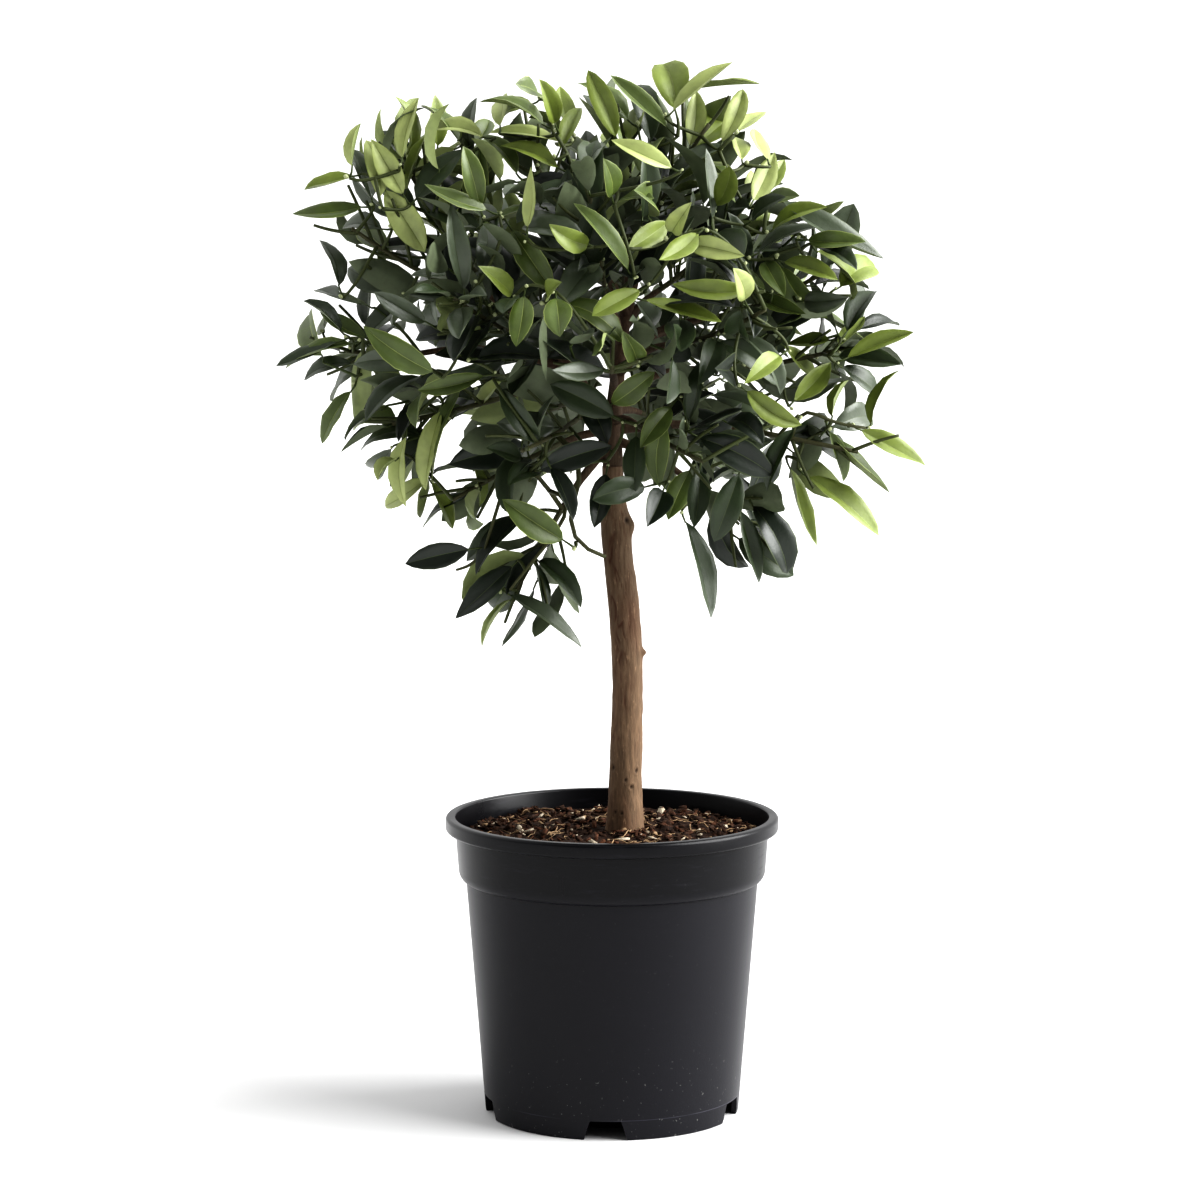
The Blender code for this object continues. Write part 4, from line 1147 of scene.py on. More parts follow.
def leaf_mesh(leaf):
    """Corners, faces, tints and margin flags of closed leaf blades: eight columns above, one
    lowered column below, and a pole at root and tip."""
    count = len(leaf["length"])
    grid = blade_points(leaf, LEAF_COLUMNS, LEAF_ROWS)
    keel = blade_points(leaf, np.zeros(1), LEAF_ROWS)
    drop = KEEL * np.minimum(1.0, 4 * LEAF_ROWS * (1 - LEAF_ROWS))
    keel = keel - drop[:, None, None] * leaf["normal"][:, None, None]
    ends = blade_points(leaf, np.zeros(1), np.array((0.0, 1.0)))[:, :, 0]
    rings = np.concatenate((grid, keel), 2)
    rows, width = len(LEAF_ROWS), len(LEAF_COLUMNS) + 1
    size = 2 + rows * width
    points = np.concatenate((ends, rings.reshape(count, rows * width, 3)), 1).reshape(-1, 3)
    row = 2 + (np.arange(rows) * width)[:, None]
    top = np.arange(width - 2)
    low, high = row[:-1], row[1:]
    quads = np.stack((low + top, low + top + 1, high + top + 1, high + top), -1)
    left, right = np.array((0, width - 1)), np.array((width - 1, width - 2))
    under = np.stack((low + left, high + left, high + right, low + right), -1)
    first, last = row[0], row[-1]
    zero, one = np.zeros(len(top), int), np.ones(len(top), int)
    root = np.stack((zero, first + top + 1, first + top), -1)
    tip = np.stack((last + top, last + top + 1, one), -1)
    under_root = np.stack((zero[:2], first + left, first + right), -1)
    under_tip = np.stack((last + right, last + left, one[:2]), -1)
    base = (np.arange(count) * size)[:, None, None]
    quads = (base + np.concatenate((quads.reshape(-1, 4), under.reshape(-1, 4)))).reshape(-1, 4)
    tris = (base + np.concatenate((root, tip, under_root, under_tip))).reshape(-1, 3)
    blade = leaf["tint"][:, None]
    old = (blade <= MATURE) | (blade == PAINTED_SHEEN)
    edge = np.where(old, EDGE_GREEN, EDGE_PALE)
    below = np.where(old, UNDER_GREY, UNDER_PALE)
    strip = np.concatenate((edge, blade, blade, edge, blade, blade, edge), 1)
    quad_marks = np.concatenate((np.tile(strip, (1, rows - 1)), np.tile(below, (1, 2 * rows - 2))), 1)
    tri_marks = np.concatenate((strip, strip, np.tile(below, (1, 4))), 1)
    margin = np.zeros(size, bool)
    margin[:2] = True
    margin[(row + (0, width - 2)).ravel()] = True
    return (points, (quads, tris), np.concatenate((quad_marks.ravel(), tri_marks.ravel())),
            np.tile(margin, count))


def leaf_rows(draw, root, direction, normal, length, width):
    """The arrays that describe leaves: where they stand and how each blade is bent."""
    count = len(length)
    return {
        "root": root, "direction": direction, "normal": normal, "length": length, "width": width,
        "fold": draw.uniform(0.18, 0.70, count),
        "curl": draw.choice((-0.3, 1.0, 1.0, 1.0), count) * draw.uniform(0.15, 1.45, count),
        "twist": draw.normal(0.0, 0.38, count), "sweep": draw.normal(0.0, 0.045, count),
        "wave": draw.uniform(0.0, 0.022, count), "waves": draw.uniform(1.2, 2.6, count),
        "phase": draw.uniform(0.0, 1.0, count), "blunt": draw.uniform(0.72, 1.08, count),
    }


class Head:
    """The whole head as it grows: paths of stems and twigs, and the leaves on them."""

    def __init__(self, settings):
        self.settings = settings
        self.draw = np.random.default_rng(settings.seed)
        middles = mass_middles()
        self.spaces = {name: Space(name, middles) for name in MASSES}
        self.boughs = bough_paths(self.spaces)
        self.windows = seen_windows()
        self.paths = []
        self.leaves = []
        self.probes = np.empty((0, len(PROBE_ROWS) * 3, 3))
        self.middles = np.empty((0, 3))
        self.nodes = []
        self.limb_points, self.limb_radii = self.limb_samples()
        self.slack = (np.array(CAD_BOX[0]) - 0.010, np.array(CAD_BOX[1]) + 0.010)
        self.stems = {name: self.stem(name) for name in MASSES}
        self.by_mass = {name: [self.stems[name]] for name in MASSES}
        for name in MASSES:
            self.add_path(name, self.stems[name], STEM_RADII, 0.55, keep=False)

    def limb_samples(self):
        """Points every few millimetres on the trunk and boughs, with the radius at each."""
        height = np.linspace(0.0, TRUNK_STATIONS[-1, 0], 60)
        lean, radius = trunk_line(height)
        points = [np.stack((lean, 0 * lean, SOIL_CUT + height), 1)]
        radii = [radius]
        for path, ends in self.boughs.values():
            if ends:
                points.append(resampled(path, 30))
                radii.append(np.linspace(*ends, 30))
        return np.concatenate(points), np.concatenate(radii)

    def stem(self, name):
        """The mass's stem: on from its bough's end, in a curve, to short of the mass's tip."""
        path, _ = self.boughs[name]
        heading = unit(path[-1] - path[-2])
        start = path[-1] - heading * 0.001
        lead = mass_tip(name) - start
        length = np.linalg.norm(lead) - STEM_SHORTFALL
        return curve_between(start, start + heading * length * STEM_BEND,
                             start + unit(lead) * length, STEM_POINTS)

    def add_path(self, name, path, radii, wood, keep=True):
        self.paths.append((path, radii, wood))
        if keep:
            self.by_mass[name].append(path)

    def clear_of_limbs(self, points, clearance=LIMB_CLEARANCE):
        middle = points.reshape(-1, 3).mean(0)
        reach = np.abs(points.reshape(-1, 3) - middle).max() * 1.8 + 0.02
        near = np.linalg.norm(self.limb_points - middle, axis=1) < reach
        if not near.any():
            return np.ones(points.shape[:-1], bool)
        away = np.linalg.norm(points[..., None, :] - self.limb_points[near], axis=-1)
        return (away - self.limb_radii[near]).min(axis=-1) > clearance

    def fits(self, name, points):
        """True for the points that lie in the mass's space and in the box, and hide no leaf that
        the picture shows."""
        fine = self.spaces[name].holds(points)
        fine &= np.all((points > self.slack[0]) & (points < self.slack[1]), axis=-1)
        columns, rows = seen(points)
        return fine & ~self.hides_seen(columns, rows, points[..., 1])

    def hides_seen(self, columns, rows, depth):
        """True for the points that stand before a leaf that the picture shows."""
        x, y = columns[..., None] - self.windows[:, 0], rows[..., None] - self.windows[:, 1]
        along, down = self.windows[:, 2], self.windows[:, 3]
        u = (x * along + y * down) / self.windows[:, 4]
        v = (y * along - x * down) / self.windows[:, 5]
        return ((u**2 + v**2 < 1.0) & (depth[..., None] < self.windows[:, 6])).any(axis=-1)

    def droop(self, point):
        rise = (point[2] - DROOP_FROM) / (DROOP_TO - DROOP_FROM)
        return DROOP_LOW + (DROOP_HIGH - DROOP_LOW) * min(max(rise, 0.0), 1.0)

    def room(self, probes):
        """Least distance from each candidate's probes to the leaves that already stand near."""
        if not len(self.middles):
            return np.full(len(probes), 1.0)
        near = np.linalg.norm(self.middles - probes.mean((0, 1)), axis=1) < NEAR_LEAF
        others = self.probes[near].reshape(-1, 3)
        if not len(others):
            return np.full(len(probes), 1.0)
        away = np.linalg.norm(probes[:, :, None] - others, axis=-1)
        return away.min(axis=(1, 2))

    def keep_leaf(self, name, leaf, index, node, tint):
        chosen = {key: value[index:index + 1] for key, value in leaf.items()}
        chosen["tint"] = np.array([tint])
        self.leaves.append((name, chosen, node))
        probes = blade_points(chosen, PROBE_COLUMNS, PROBE_ROWS).reshape(1, -1, 3)
        self.probes = np.concatenate((self.probes, probes))
        self.middles = np.concatenate((self.middles, probes.mean(1)))
        petiole = np.stack((node, (node + chosen["root"][0]) / 2, chosen["root"][0]))
        petiole[1] -= chosen["normal"][0] * 0.0006
        petiole[2] += chosen["direction"][0] * 0.0012
        self.paths.append((petiole, PETIOLE_RADII, 0.0))

    def grow_leaf(self, name, node, along, turn, leans, size, tint):
        """One leaf at a node of a twig: of several directions, the one with the most room."""
        draw = self.draw
        across, up = side_frame(along, UP)
        outward = unit((node - HEAD_HEART) / HEAD_REACH)
        angle = turn + math.tau * np.arange(LEAF_TRIES) / LEAF_TRIES
        angle = (angle + draw.uniform(-0.25, 0.25, LEAF_TRIES))[:, None]
        lean = draw.uniform(*leans, LEAF_TRIES)[:, None]
        side = across * np.cos(angle) + up * np.sin(angle)
        direction = along * np.cos(lean) + side * np.sin(lean) + outward * OUTWARD_PULL
        direction = unit(direction + UP * self.droop(node))
        face = along * 0.55 + outward * 0.5 + UP * 0.5 + draw.uniform(-0.65, 0.65, (LEAF_TRIES, 3))
        normal, _ = side_frame(direction, face)
        length = draw.uniform(self.settings.shortest, self.settings.longest, LEAF_TRIES) * size
        width = length * draw.uniform(0.9, 1.12, LEAF_TRIES) * self.settings.width_share
        petiole = draw.uniform(*PETIOLE, LEAF_TRIES)[:, None] * size
        leaf = leaf_rows(draw, node + direction * petiole, direction, normal, length, width)
        probes = blade_points(leaf, PROBE_COLUMNS, PROBE_ROWS).reshape(LEAF_TRIES, -1, 3)
        fine = self.fits(name, probes).all(axis=1) & self.clear_of_limbs(probes).all(axis=1)
        room = np.where(fine, self.room(probes), 0.0)
        best = int(np.argmax(room))
        if room[best] < LEAST_ROOM:
            return False
        self.keep_leaf(name, leaf, best, node, tint)
        return True

    def spray_tint(self, point):
        """Young and light at the outer tips, old and dark inside and low in the middle."""
        offset = (point - HEAD_HEART) / HEAD_REACH
        out = np.linalg.norm(offset)
        youth = 1.9 * (out - 0.62) + 0.5 * offset[2] + 0.35 * abs(offset[0])
        youth += 0.5 * (offset[0] < -0.45) * (offset[2] < -0.2) + self.draw.normal(0.0, 0.30)
        return int(np.digitize(youth, (0.28, 0.72, 1.22, 1.70)))

    def leaf_tint(self, spray):
        step = self.draw.choice((-1, 0, 0, 0, 1))
        # Painted sheen: on sprays no younger than the middle tint, some leaves take a grey base colour for
        # the sky's shine
        if self.draw.random() < PAINTED_SHEEN_SHARE * (spray <= MIDDLE):
            return PAINTED_SHEEN
        return int(np.clip(spray + step, DEEP, PALE))

    def grow_leaves(self, name, path, size=1.0, first=FIRST_NODE):
        """Leaves one after another up a twig by the golden angle, and a tuft at its end. Returns
        the share of the twig that bears leaves."""
        length = np.linalg.norm(np.diff(path, axis=0), axis=1).sum()
        spray = self.spray_tint(path[-1])
        turn = self.draw.uniform(0.0, math.tau)
        leafed = 0.0
        end = unit(path[-1] - path[-2])
        for count in range(TUFT):
            turn += GOLDEN_ANGLE
            tip_size = size * self.draw.uniform(0.74, 0.98)
            if self.grow_leaf(name, path[-1], end, turn, END_LEANS, tip_size, self.leaf_tint(spray)):
                leafed = 1.0
        count = max(int(length * (1 - first) / NODE_STEP), 1)
        for share in np.linspace(0.93, first, count):
            node = point_along(path, share)
            along = unit(point_along(path, min(share + 0.1, 1.0)) - point_along(path, share - 0.1))
            turn += GOLDEN_ANGLE
            if self.grow_leaf(name, node, along, turn, LEAF_LEANS, size, self.leaf_tint(spray)):
                leafed = max(leafed, share)
                self.nodes.append(node)
        return leafed

    def grow_twig(self, name, parent, share, turn, lean, lengths, radii):
        """A side twig that bends towards the light, as long as the mass's space allows."""
        foot = point_along(parent, share)
        along = unit(point_along(parent, min(share + 0.1, 1.0)) - point_along(parent, max(share - 0.1, 0.0)))
        across, up = side_frame(along, UP)
        for attempt in range(TWIG_TRIES):
            angle = turn + 0.6 * attempt
            side = across * math.cos(angle) + up * math.sin(angle)
            heading = unit(along * math.cos(lean) + side * math.sin(lean))
            length = self.draw.uniform(*lengths)
            outward = unit((foot - HEAD_HEART) / HEAD_REACH)
            while length > SHORTEST_TWIG:
                pull = outward * 0.25 + UP * (0.18 + 0.5 * self.droop(foot))
                end = foot + unit(heading + pull) * length
                path = curve_between(foot, foot + heading * length * 0.5, end, TWIG_POINTS)
                if self.fits(name, path[2:]).all() and self.clear_of_limbs(path[3:], 0.002).all() \
                        and self.spaces[name].depth(end) > 0.0:
                    return path
                length *= 0.84
        return None

    def grow_mass(self, name):
        """Twigs leave the stem by the golden angle, twiglets leave the twigs, leaves stand on all."""
        stem = self.stems[name]
        length = np.linalg.norm(np.diff(stem, axis=0), axis=1).sum()
        turn = self.draw.uniform(0.0, math.tau)
        shoots = []
        count = int(np.clip(round(length / 0.0085), 5, self.settings.twigs))
        for share in np.linspace(*TWIG_SHARES, count):
            turn += GOLDEN_ANGLE
            lean = TWIG_LEANS[0] + (TWIG_LEANS[1] - TWIG_LEANS[0]) * share
            twig = self.grow_twig(name, stem, share, turn, lean, TWIG_LENGTHS, TWIG_RADII)
            if twig is not None:
                shoots.append((twig, TWIG_RADII, 1.0, (stem, share)))
        for twig, _, _, _ in list(shoots):
            if np.linalg.norm(twig[-1] - twig[0]) < 0.028:
                continue
            for share in TWIGLET_SHARES:
                turn += GOLDEN_ANGLE
                twiglet = self.grow_twig(name, twig, share, turn, TWIGLET_LEAN, TWIGLET_LENGTHS,
                                         TWIGLET_RADII)
                if twiglet is not None:
                    shoots.append((twiglet, TWIGLET_RADII, 0.9, (twig, share)))
        self.grow_leaves(name, stem, 1.0, 0.2)
        for path in self.by_mass[name][1:]:
            if len(path) == TWIG_POINTS:
                self.grow_leaves(name, path, 0.95, 0.15)
        carriers = [foot for _, _, _, foot in shoots]
        for path, radii, size, _ in shoots:
            twiglet = radii is TWIGLET_RADII
            leafed = self.grow_leaves(name, path, size, 0.2 if twiglet else FIRST_NODE)
            carried = max((share for parent, share in carriers if parent is path), default=0.0)
            kept = max(leafed, carried)
            if kept > 0.0:
                wood = 0.0 if twiglet else 0.25
                self.add_path(name, trimmed(path, kept), radii, wood, keep=False)

    def nearest(self, name, point):
        """The nearest place on the mass's stem and twigs, and the way on from there."""
        best = None
        for path in self.by_mass[name]:
            dense = resampled(path, 24)
            away = np.linalg.norm(dense - point, axis=1)
            index = int(np.argmin(away))
            if best is None or away[index] < best[0]:
                best = (away[index], dense[index], unit(dense[min(index + 1, 23)] - dense[max(index - 1, 0)]))
        return best

    def seen_twigs(self):
        for name, depth, thick, thin, places in SEEN_TWIGS:
            points = np.array([spot(column, row, depth) for column, row in places])
            away, foot, along = self.nearest(name, points[0])
            points = np.concatenate(([foot], points))
            self.add_path(name, smoothed(points, 12, 3), (thick, thin), 0.45)

    def seen_leaves(self):
        """The leaves that the picture shows one by one, each at the end of its own twig."""
        view = unit(EYE - HEAD_HEART)
        for (name, front), rows in SEEN_LEAVES.items():
            spray = self.spray_tint(mass_tip(name))
            for index, (column, row, tip_column, tip_row, pixels, *bow) in enumerate(rows):
                depth = front + index * SEEN_STEP
                root, flat_tip = spot(column, row, depth), spot(tip_column, tip_row, depth)
                flat = np.linalg.norm(flat_tip - root)
                length = max(flat, self.settings.shortest * (0.92 if pixels > 15 else 0.6))
                sink = math.sqrt(max(length**2 - flat**2, 0.0)) * (-1 if depth < -0.03 else 1)
                direction = unit(spot(tip_column, tip_row, depth + sink * 0.8) - root)
                length = np.linalg.norm(spot(tip_column, tip_row, depth + sink * 0.8) - root)
                shown = pixels / FOCAL_PIXELS * 2.2
                width = np.clip(max(shown, length * 0.36), 0.015, 0.0265)
                tilt = math.acos(min(shown / width, 1.0))
                face, side = side_frame(direction, view)
                side = side * (1.0 if side[2] > 0 else -1.0)
                normal = unit(face * math.cos(tilt) + side * math.sin(tilt))
                leaf = leaf_rows(self.draw, root[None], direction[None], normal[None],
                                 np.array([length]), np.array([width]))
                leaf["curl"] = np.minimum(leaf["curl"], 0.7)
                leaf["sweep"] = np.array(bow or leaf["sweep"])
                leaf["blunt"][:] = 0.62 if pixels > 36 else leaf["blunt"]
                node = root - direction * self.draw.uniform(*PETIOLE)
                away, foot, along = self.nearest(name, node)
                if away > 0.004:
                    bend = node - direction * away * 0.35 + along * away * 0.12
                    bend = bend * 0.6 + (foot + node) / 2 * 0.4
                    path = curve_between(foot, bend, node, TWIG_POINTS)
                    self.add_path(name, path, TWIG_RADII, 0.2)
                else:
                    node = foot
                self.nodes.append(node)
                self.keep_leaf(name, leaf, 0, node, self.leaf_tint(spray))

    def grow(self):
        self.seen_twigs()
        self.seen_leaves()
        for name in MASSES:
            self.grow_mass(name)
        return self


GROWN = {}


def grown_head():
    """The head for the settings in use, grown once for the leaves, twigs and buds."""
    settings = bpy.context.scene.potted_tree.leaves
    key = (settings.seed, settings.shortest, settings.longest, settings.width_share, settings.twigs)
    if key not in GROWN:
        GROWN[key] = Head(settings).grow()
    return GROWN[key]


# Settings


def colour_setting(name, description, default):
    return bpy.props.FloatVectorProperty(name=name, description=description, default=default,
                                         subtype="COLOR", size=3, min=0.0, max=1.0)


class PotSettings(bpy.types.PropertyGroup):
    """The nursery pot."""

    colour: colour_setting("Colour", "Colour of the plastic", (0.0085, 0.0083, 0.0112))
    roughness: bpy.props.FloatProperty(
        name="Roughness", description="How dull the plastic is", default=0.38, min=0.0, max=1.0,
        subtype="FACTOR")
    segments: bpy.props.IntProperty(
        name="Segments", description="Faces round the pot", default=192, min=24, max=400)


class MixSettings(bpy.types.PropertyGroup):
    """The potting mix."""

    colour: colour_setting("Colour", "Colour of the damp crumbs", (0.034, 0.017, 0.010))
    bark_chip: colour_setting("Red chips", "Colour of the bark chips", (0.110, 0.050, 0.028))
    tan_chip: colour_setting("Tan chips", "Colour of the dry chips", (0.36, 0.25, 0.15))
    pale_chip: colour_setting("Pale chips", "Colour of the palest chips", (0.62, 0.54, 0.42))
    chips: bpy.props.IntProperty(
        name="Chips", description="Chips on the surface", default=1500, min=0, max=6000)
    fibres: bpy.props.IntProperty(
        name="Fibres", description="Fibres on the surface", default=120, min=4, max=400)


class BarkSettings(bpy.types.PropertyGroup):
    """The bark of trunk and boughs."""

    colour: colour_setting("Colour", "Colour of the ridges", (0.190, 0.126, 0.078))
    fissure_colour: colour_setting("Fissures", "Colour of the fissures", (0.070, 0.031, 0.018))
    relief: bpy.props.FloatProperty(
        name="Relief", description="Depth of the fissures", default=0.00045, min=0.0, max=0.002,
        subtype="DISTANCE", unit="LENGTH", precision=5)


class LeafSettings(bpy.types.PropertyGroup):
    """The leaves and how they grow."""

    seed: bpy.props.IntProperty(name="Seed", description="Another head of leaves", default=21)
    shortest: bpy.props.FloatProperty(
        name="Shortest", description="Length of the shortest leaves", default=0.042, min=0.01,
        max=0.1, subtype="DISTANCE", unit="LENGTH")
    longest: bpy.props.FloatProperty(
        name="Longest", description="Length of the longest leaves", default=0.056, min=0.01,
        max=0.1, subtype="DISTANCE", unit="LENGTH")
    width_share: bpy.props.FloatProperty(
        name="Width", description="Width of a leaf as a share of its length", default=0.44,
        min=0.1, max=1.0, subtype="FACTOR")
    twigs: bpy.props.IntProperty(
        name="Twigs", description="Most twigs on one mass's stem", default=12, min=4, max=20)
    deep: colour_setting("Deep", "Oldest leaves", (0.0065, 0.0130, 0.0050))
    mature: colour_setting("Mature", "Old leaves", (0.022, 0.037, 0.011))
    middle: colour_setting("Middle", "Leaves of this year", (0.076, 0.108, 0.022))
    young: colour_setting("Young", "Young leaves", (0.165, 0.210, 0.040))
    pale: colour_setting("Pale", "Youngest leaves", (0.34, 0.39, 0.15))
    # Painted sheen: a grey base colour standing in for the shine of the sky on leaves
    grey: colour_setting("Grey", "Leaves that shine grey", (0.070, 0.088, 0.055))
    edge_green: colour_setting("Edge", "Margin and midrib of old leaves", (0.050, 0.068, 0.024))
    edge_pale: colour_setting("Pale edge", "Margin and midrib of young leaves", (0.22, 0.26, 0.08))
    under_grey: colour_setting("Underside", "Underside of old leaves", (0.120, 0.145, 0.084))
    under_pale: colour_setting("Pale underside", "Underside of young leaves", (0.21, 0.25, 0.10))
    twig_green: colour_setting("Green twig", "Young twigs and petioles", (0.052, 0.072, 0.020))
    twig_brown: colour_setting("Brown twig", "Older twigs", (0.060, 0.042, 0.026))
    bud: colour_setting("Bud", "Buds at the leaf joints", (0.42, 0.46, 0.26))
    buds: bpy.props.IntProperty(
        name="Buds", description="Buds at the leaf joints", default=420, min=1, max=1000)


class StageSettings(bpy.types.PropertyGroup):
    """Floor, light and background."""

    floor: colour_setting("Floor", "Colour of the floor", (0.68, 0.68, 0.68))
    key: bpy.props.FloatProperty(
        name="Key light", description="Strength of the large light on the right", default=6.0,
        min=0.0)
    key_turn: bpy.props.FloatProperty(
        name="Key turn", description="Where the key light stands, from the right",
        default=math.radians(-9.0), subtype="ANGLE", unit="ROTATION")
    key_height: bpy.props.FloatProperty(
        name="Key height", description="How high the key light stands over the floor",
        default=math.radians(29.0), subtype="ANGLE", unit="ROTATION")
    softness: bpy.props.FloatProperty(
        name="Softness", description="How wide the key light looks from the plant",
        default=math.radians(58.0), subtype="ANGLE", unit="ROTATION")
    front: bpy.props.FloatProperty(
        name="Front", description="Brightness of the dim room in front", default=0.10, min=0.0)
    back: bpy.props.FloatProperty(
        name="Back wall", description="Brightness of the wall behind", default=0.80, min=0.0)
    right: bpy.props.FloatProperty(
        name="Right wall", description="What the right wall adds", default=0.60, min=0.0)
    left: bpy.props.FloatProperty(
        name="Left wall", description="What the left wall adds", default=0.50, min=0.0)
    top: bpy.props.FloatProperty(
        name="Ceiling", description="What the ceiling adds", default=0.50, min=0.0)


class PottedTreeSettings(bpy.types.PropertyGroup):
    """Everything a user would change."""

    pot: bpy.props.PointerProperty(type=PotSettings)
    mix: bpy.props.PointerProperty(type=MixSettings)
    bark: bpy.props.PointerProperty(type=BarkSettings)
    leaves: bpy.props.PointerProperty(type=LeafSettings)
    stage: bpy.props.PointerProperty(type=StageSettings)


# Operators


class POTTEDTREE_OT_pot(bpy.types.Operator):
    """Make the black nursery pot with its flange, collar, step and notched foot ring"""

    bl_idname = "potted_tree.pot"
    bl_label = "Make the pot"

    def execute(self, context):
        settings = context.scene.potted_tree.pot
        pot = turned("nursery_pot", pot_outline(), settings.segments, [pot_plastic(settings)])
        cut_away(pot, notch_cutters())
        pot.data.shade_smooth()
        pot.data.set_sharp_from_angle(angle=math.radians(38.0))
        placed(pot, ["pot"])
        return {"FINISHED"}


class POTTEDTREE_OT_mix(bpy.types.Operator):
    """Make the potting mix with its lumps, chips and fibres"""

    bl_idname = "potted_tree.mix"
    bl_label = "Make the potting mix"

    def execute(self, context):
        settings = context.scene.potted_tree.mix
        brown, red = tuple(settings.colour), tuple(settings.bark_chip)
        tan, pale = tuple(settings.tan_chip), tuple(settings.pale_chip)
        outline, sides = mix_outline()

        def lift(x, y, rings):
            """Heights of the rings on top, none below them."""
            on_top = (np.arange(len(rings)) >= sides - 1)[:, None]
            return np.where(on_top, mix_height(x, y), 0.0)

        filling = turned("mix_filling", outline, 220,
                         [mix_material("mix_crumbs", brown, shade(red, 0.9))], lift)
        placed(filling, ["potting_mix"])
        points, faces, tints = chip_mesh(settings.chips, 43)
        finishes = [mix_material("chip_dark", shade(brown, 1.5), shade(red, 0.8)),
                    mix_material("chip_red", red, shade(tan, 0.6)),
                    mix_material("chip_tan", tan, shade(pale, 0.8)),
                    mix_material("chip_pale", pale, pale)]
        chips = make_piece("mix_chips", points, (faces,), finishes, tints, smooth=False)
        placed(chips, ["potting_mix"])
        paths, radii = fibre_paths(settings.fibres, 47)
        radii = radii[:, None] * np.array((0.5, 0.9, 1.0, 1.0, 1.0, 0.8, 0.4))
        fibres = make_piece("mix_fibres", tube_points(paths, radii, 4), tube_faces(len(paths), 7, 4),
                            [mix_material("fibre", shade(tan, 1.2), pale)])
        placed(fibres, ["potting_mix"])
        return {"FINISHED"}


class POTTEDTREE_OT_trunk(bpy.types.Operator):
    """Make the trunk with fissured bark, knuckle, stub and scars"""

    bl_idname = "potted_tree.trunk"
    bl_label = "Make the trunk"

    def execute(self, context):
        settings = context.scene.potted_tree.bark
        points, faces, (fissure, scar) = trunk_grid(settings)
        trunk = make_piece("trunk_bark", points, faces, [bark_material("bark", settings)])
        give_attribute(trunk, "fissure", fissure)
        give_attribute(trunk, "scar", scar)
        placed(trunk, ["trunk"])
        return {"FINISHED"}


class POTTEDTREE_OT_boughs(bpy.types.Operator):
    """Make the two main boughs and the side boughs with their bark"""

    bl_idname = "potted_tree.boughs"
    bl_label = "Make the boughs"

    def execute(self, context):
        settings = context.scene.potted_tree.bark
        head = grown_head()
        rings, sides = 30, 14
        limbs = [(name, row) for name, row in head.boughs.items() if row[1]]
        paths = np.array([smoothed(path, rings, 4) for _, (path, _) in limbs])
        radii = np.array([np.linspace(*ends, rings) for _, (_, ends) in limbs])
        mains = np.array([name in MAIN_BOUGHS for name, _ in limbs])
        # The main boughs start inside the trunk's end and flare out into it
        rise = unit(paths[:, 1] - paths[:, 0])
        paths[mains, 0] -= rise[mains] * 0.012
        radii += np.exp(-np.linspace(0, 1, rings) * 18) * np.where(mains, 0.0004, 0.0006)[:, None]
        draw = np.random.default_rng(11)
        t, h = np.meshgrid(np.arange(sides) / sides, np.linspace(0, 1, rings))
        relief = np.array([ring_noise(draw, t, h, 7, 9) for _ in limbs])
        fissure = np.clip(np.array([ring_noise(draw, t, h, 7, 5) for _ in limbs]), 0, 1)
        depth = radii[..., None] * (0.09 * relief - 0.06 * fissure)
        points = tube_points(paths, radii, sides, depth)
        # Painted shade: the boughs take the bark at half its brightness, for the shade inside the head
        boughs = make_piece("bough_bark", points, tube_faces(len(limbs), rings, sides),
                            [bark_material("bough_skin", settings, 0.5)])
        pad = np.zeros((len(limbs), 2))
        give_attribute(boughs, "fissure",
                       np.concatenate((fissure.reshape(len(limbs), -1) * 0.7, pad), 1))
        give_attribute(boughs, "scar", np.zeros(len(points)))
        placed(boughs, [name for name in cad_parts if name.startswith("bough_")])
        return {"FINISHED"}


class POTTEDTREE_OT_leaves(bpy.types.Operator):
    """Grow the leaves, one piece for each mass"""

    bl_idname = "potted_tree.leaves"
    bl_label = "Make the leaves"

    def execute(self, context):
        settings = context.scene.potted_tree.leaves
        head = grown_head()
        shines = (0.40, 0.42, 0.44, 0.46, 0.48, 0.34)
        tints = [leaf_material(f"leaf_{name}", tuple(getattr(settings, name)), shine)
                 for name, shine in zip(TINT_NAMES, shines)]
        tints += [leaf_material(f"leaf_{name}", tuple(getattr(settings, name)), shine)
                  for name, shine in (("edge_green", 0.5), ("edge_pale", 0.5),
                                      ("under_grey", 0.62), ("under_pale", 0.62))]
        for name in MASSES:
            rows = [leaf for mass, leaf, _ in head.leaves if mass == name]
            if not rows:
                raise RuntimeError(f"mass {name} has no leaves")
            leaf = {key: np.concatenate([row[key] for row in rows]) for key in rows[0]}
            points, faces, marks, margin = leaf_mesh(leaf)
            used = np.unique(marks)
            piece = make_piece(f"leaves_{name}", points, faces, [tints[mark] for mark in used],
                               np.searchsorted(used, marks), sharp=margin)
            placed(piece, [f"mass_{name}"])
        print("leaves:", len(head.leaves))
        return {"FINISHED"}


